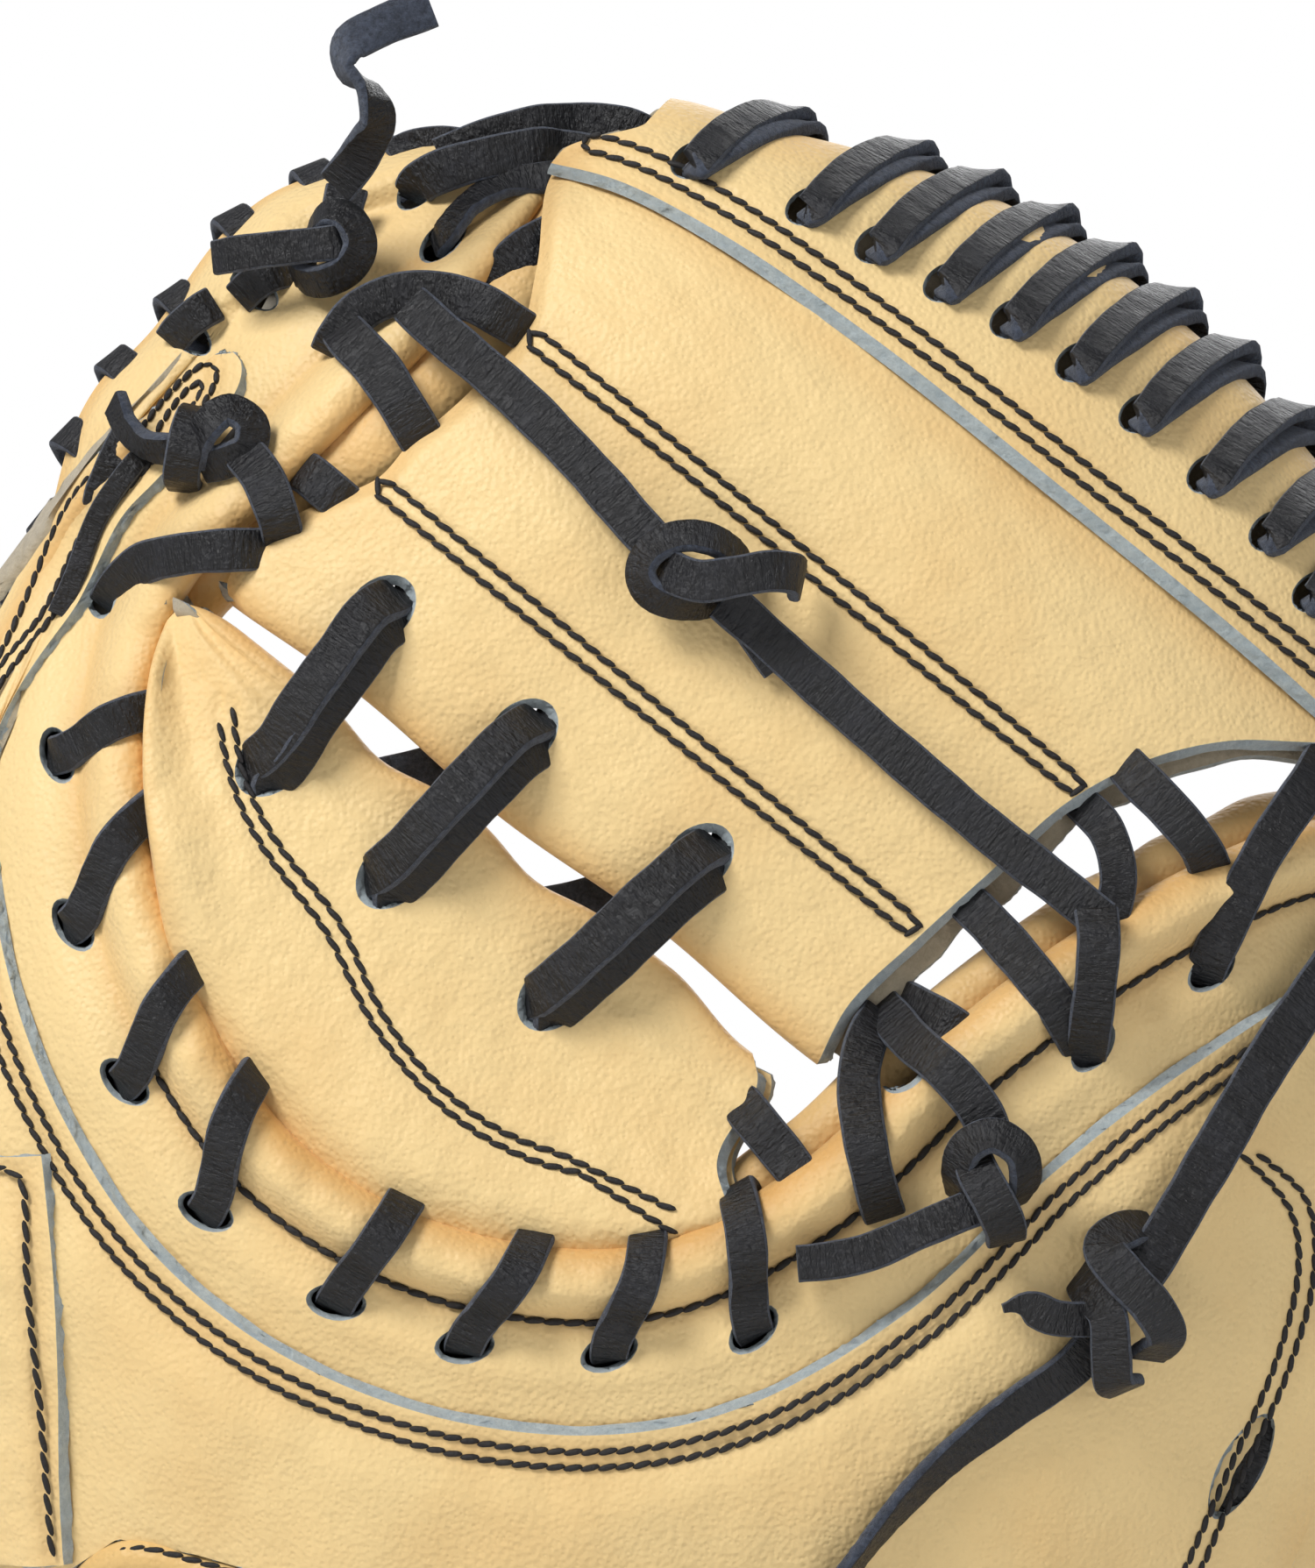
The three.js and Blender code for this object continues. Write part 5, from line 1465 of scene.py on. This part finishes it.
# The lace whipped round the outer rim.
def rim_strap(build, a, pitch):
    k = np.linspace(0, 1, 44)
    turn = mix(-1.05, 1.55, k) * math.pi
    angle = a + pitch * 0.55 * k
    x, z = rim_plan(angle, 4.2)
    inward = np.stack([-x, 0 * x, CENTRE_Z - z], 1)
    inward = unit(inward)
    middle = np.stack([x, -1.0 + 0 * x, z], 1)
    across, back = np.cos(turn / 1.3), -np.sin(turn / 1.3)
    path = middle - inward * (5.6 * across)[:, None] + BACK * (5.6 * back)[:, None]
    face = -inward * across[:, None] + BACK * back[:, None]
    ribbon(build, path, face, 5.8, 1.9)


RIM_PITCH = 6.0
for name, low, high, body in (("rim_lace_finger_part", 103, 241, "finger_side"),
    ("rim_lace_thumb_part", 299, 367, "thumb_side")):
    b = Build()
    for a in np.arange(low, high, RIM_PITCH):
        rim_strap(b, a, RIM_PITCH)
    if body == "finger_side":
        strap(b, [(-69.2, 250.0, 0.5), (-67.6, 251.8, 2.2), (-64.6, 254.0, 3.0), (-62.4, 255.4, 1.0)], 5.6)
        strap(b, [(-58.2, 256.4, 0.5), (-56.4, 258.0, 2.2), (-53.4, 259.8, 2.8), (-51, 260.6, 0.8)], 5.6)
        strap(b, [(-86.4, 207.0, 2.6), (-83.6, 213.3, 4.6), (-80.3, 221.8, 4.8), (-74.6, 229.8, 4.6),
            (-72.6, 232, 2.6)], 3.4)
        strap(b, [(-80.5, 223.5, 0.0), (-79.4, 227, 2.0), (-77.6, 231.0, 3.2), (-75.6, 235.4, 1.0)], 5.2)
    else:
        strap(b, [(101.8, 87, -2.6), (99.4, 81.6, -1.2), (96.2, 75.6, -0.8), (92.8, 69.6, -1.2),
            (90.4, 64.4, -2.8)], 6.8)
    lace_piece(name, [name], body)


# ---------- index pad, wrist strap and what lies inside ----------
b = Build()
u = edged(0, 1, 0.03, last=0.06)[:, None]
v = edged(0, 1, 0.018, first=0.035)[None]
x = mix(-120.5, -86.6, u) + 3.6 * v + 0.8 * np.sin(v * 5)
z = mix(124.6, 61, v) + 0.6 * np.sin(u * 6)
edge = np.minimum(-86.6 + 3.6 * v - x, 124.6 - z)
h = 5.6 + 1.6 * smooth(0, 9, edge) * (1 - smooth(9, 30, edge)) - 0.5 * bell(edge, 2.6, 0.8)
h = h + 0.35 * waves(x, z, 11, 91) + 0.25 * waves(x, z, 5, 92)
# Painted shade along the groove under the stitching.
slab(b, on_back(x, z, h), 2.4, bevel=(0.7, 0, 0, 0.7), tone=0.2 * bell(edge, 2.6, 3), flesh=2)
finish_piece(b, "index_finger_pad", LEATHER_SET, ["index_finger_pad"], "finger_side")
b = Build()
row = spline([(-118, 122.0), (-104, 122.1), (-91, 122.0), (-89.6, 120.6), (-88.8, 105), (-87, 84),
    (-85.6, 63)], step=1)
stitches(b, on_back(row[:, 0], row[:, 1], 6.6), BACK, pitch=3.2, width=1.0)
finish_piece(b, "index_pad_thread", [thread], body="finger_side")

STRAP_WIDTH, STRAP_SWEEP = 26, 12
RING_X = -4


def strap_point(x, k, h):
    z = STRAP_SWEEP * smooth(50, 95, np.abs(x)) + STRAP_WIDTH * k
    y = back_y(x, np.float64(STRAP_WIDTH + STRAP_SWEEP)) - 7 - h
    return np.stack([x + 0 * k, y + 0 * k, z + 0.0 * x], -1)


def strap_slab(name, low, high, h, thick, materials, body, rows=True, tall=(0.0, 1.0), puff=0.0,
    rough=0.0):
    b = Build()
    x = edged(low, high, 1.1, first=1.2, last=1.2)[:, None]
    k = edged(tall[0], tall[1], 0.04, first=0.035, last=0.035)[None]
    bulge = puff * np.sin(math.pi * (k - tall[0]) / (tall[1] - tall[0])) ** 0.6
    bulge = bulge + 0.2 * waves(x, k * 26, 14, 95)
    if rough:
        bulge = bulge + rng.normal(0, rough, bulge.shape)
    slab(b, strap_point(x, k, h + thick + bulge), thick, bevel=(0.5, 0.5, 0.5, 0.5), tone=0.1,
        flesh=len(materials) - 1)
    finish_piece(b, name, materials, [name], body)
    if rows:
        b = Build()
        for edge in (0.09, 0.91):
            line = np.arange(low + 2.5, high - 2.5, 1.0)
            across = tall[0] + edge * (tall[1] - tall[0])
            stitches(b, strap_point(line, across + 0 * line, h + thick + 0.2 + puff * 0.5), BACK, pitch=3.0)
        finish_piece(b, name + "_thread", [thread], body=body)


for name, low, high, body in (("finger_side", -92, RING_X - 6, "finger_side"),
    ("thumb_side", RING_X + 6, 68, "thumb_side")):
    strap_slab("wrist_strap_" + name, low, high, 0.0, 2.4, LEATHER_SET, body, puff=0.6)
for name, low, high, body in (("finger_side", -78, RING_X - 8, "finger_side"),
    ("thumb_side", RING_X + 8, 52, "thumb_side")):
    strap_slab("wrist_fleece_" + name, low, high, -4.6, 4.2, [fleece, fleece], body, rows=False,
        rough=0.14)
strap_slab("wrist_tab", -60, RING_X - 9, 2.8, 2.4, LEATHER_SET, "wrist_tab", tall=(0.06, 0.94),
    puff=0.8)

b = Build()
y = float(back_y(np.float64(RING_X), np.float64(STRAP_WIDTH + STRAP_SWEEP))) - 9.2
tall = STRAP_WIDTH / 2 + 1.8
corner = [(-3.8, -tall + 2), (-2.4, -tall), (2.4, -tall), (3.8, -tall + 2), (3.8, tall - 2), (2.4, tall),
    (-2.4, tall), (-3.8, tall - 2)]
loop = spline(corner + corner[:3], step=0.8)
loop = np.stack([RING_X + loop[:, 0], y + 0 * loop[:, 0], STRAP_WIDTH / 2 + 2.9 + loop[:, 1]], 1)
tube(b, loop, 1.3, 12)
m, tree, shader = nodes_of("ring_black")
place = node(tree, "ShaderNodeTexCoord").outputs["Object"]
worn = noise(tree, place, 300.0, 6.0)
tree.links.new(blend_colour(tree, ramp(tree, worn, 0.6, 0.75), (0.02, 0.02, 0.022, 1),
    (0.10, 0.10, 0.10, 1)), shader.inputs["Base Color"])
tree.links.new(ramp(tree, worn, 0.3, 0.8, 0.3, 0.55), shader.inputs["Roughness"])
shader.inputs["Metallic"].default_value = 0.6
finish_piece(b, "strap_ring", [m], ["strap_ring"], "finger_side")

for name, x0, z0, body in (("thumb_loop", 38, 60, "thumb_side"),
    ("little_finger_loop", -60, 60, "finger_side")):
    b = Build()
    y0 = float(back_y(np.float64(x0), np.float64(z0))) + 18
    p = spline([(x0 - 9, y0, z0), (x0 - 4.5, y0 - 8, z0), (x0 + 4.5, y0 - 8, z0), (x0 + 9, y0, z0)],
        step=0.7)
    ribbon(b, p, BACK)
    lace_piece(name, [name], body)


# ---------- floor, light and camera ----------
bpy.ops.mesh.primitive_circle_add(vertices=96, radius=0.9, fill_type="NGON", location=(0, 0, -0.0005))
floor = bpy.context.object
floor.name = "floor"
m, tree, shader = nodes_of("floor_pale")
shader.inputs["Base Color"].default_value = (0.86, 0.86, 0.85, 1)
shader.inputs["Roughness"].default_value = 0.8
floor.data.materials.append(m)
floor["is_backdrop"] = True

world = bpy.data.worlds.new("studio")
bpy.context.scene.world = world
world.use_nodes = True
tree = world.node_tree
background = tree.nodes["Background"]
path = node(tree, "ShaderNodeLightPath").outputs["Is Camera Ray"]
tree.links.new(blend_colour(tree, path, (0.29, 0.30, 0.315, 1), (1, 1, 1, 1)), background.inputs["Color"])


LIGHT_TARGET = Vector((0, 0, 0.16))


def area_light(name, place, size, energy):
    data = bpy.data.lights.new(name, "AREA")
    data.size, data.energy = size, energy
    o = bpy.data.objects.new(name, data)
    bpy.context.scene.collection.objects.link(o)
    o.location = place
    o.rotation_euler = (LIGHT_TARGET - Vector(place)).to_track_quat("-Z", "Y").to_euler()


for light in (
    ("key", (-0.6, -0.7, 1.0), 0.45, 13.5),
    ("fill", (0.9, -0.9, 0.35), 0.9, 2.4),
    ("pocket_side", (0.3, 1.1, 0.8), 0.8, 6),
):
    area_light(*light)

PICTURE_TALL = 238.5  # mm of the mitt that the picture's height covers, at the back's surface
PICTURE_MIDDLE = np.array([6.7, -40, 180.7])
LENS, SENSOR = 150, 36
camera_data = bpy.data.cameras.new("camera")
camera_data.lens, camera_data.sensor_width = LENS, SENSOR
camera = bpy.data.objects.new("camera", camera_data)
bpy.context.scene.collection.objects.link(camera)
distance = PICTURE_TALL * LENS / SENSOR
camera.location = tuple((PICTURE_MIDDLE + SHIFT + [0, -distance, 0]) * 0.001)
camera.rotation_euler = (math.pi / 2, 0, 0)
bpy.context.scene.camera = camera
bpy.context.scene.view_settings.view_transform = "Standard"

low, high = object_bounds()
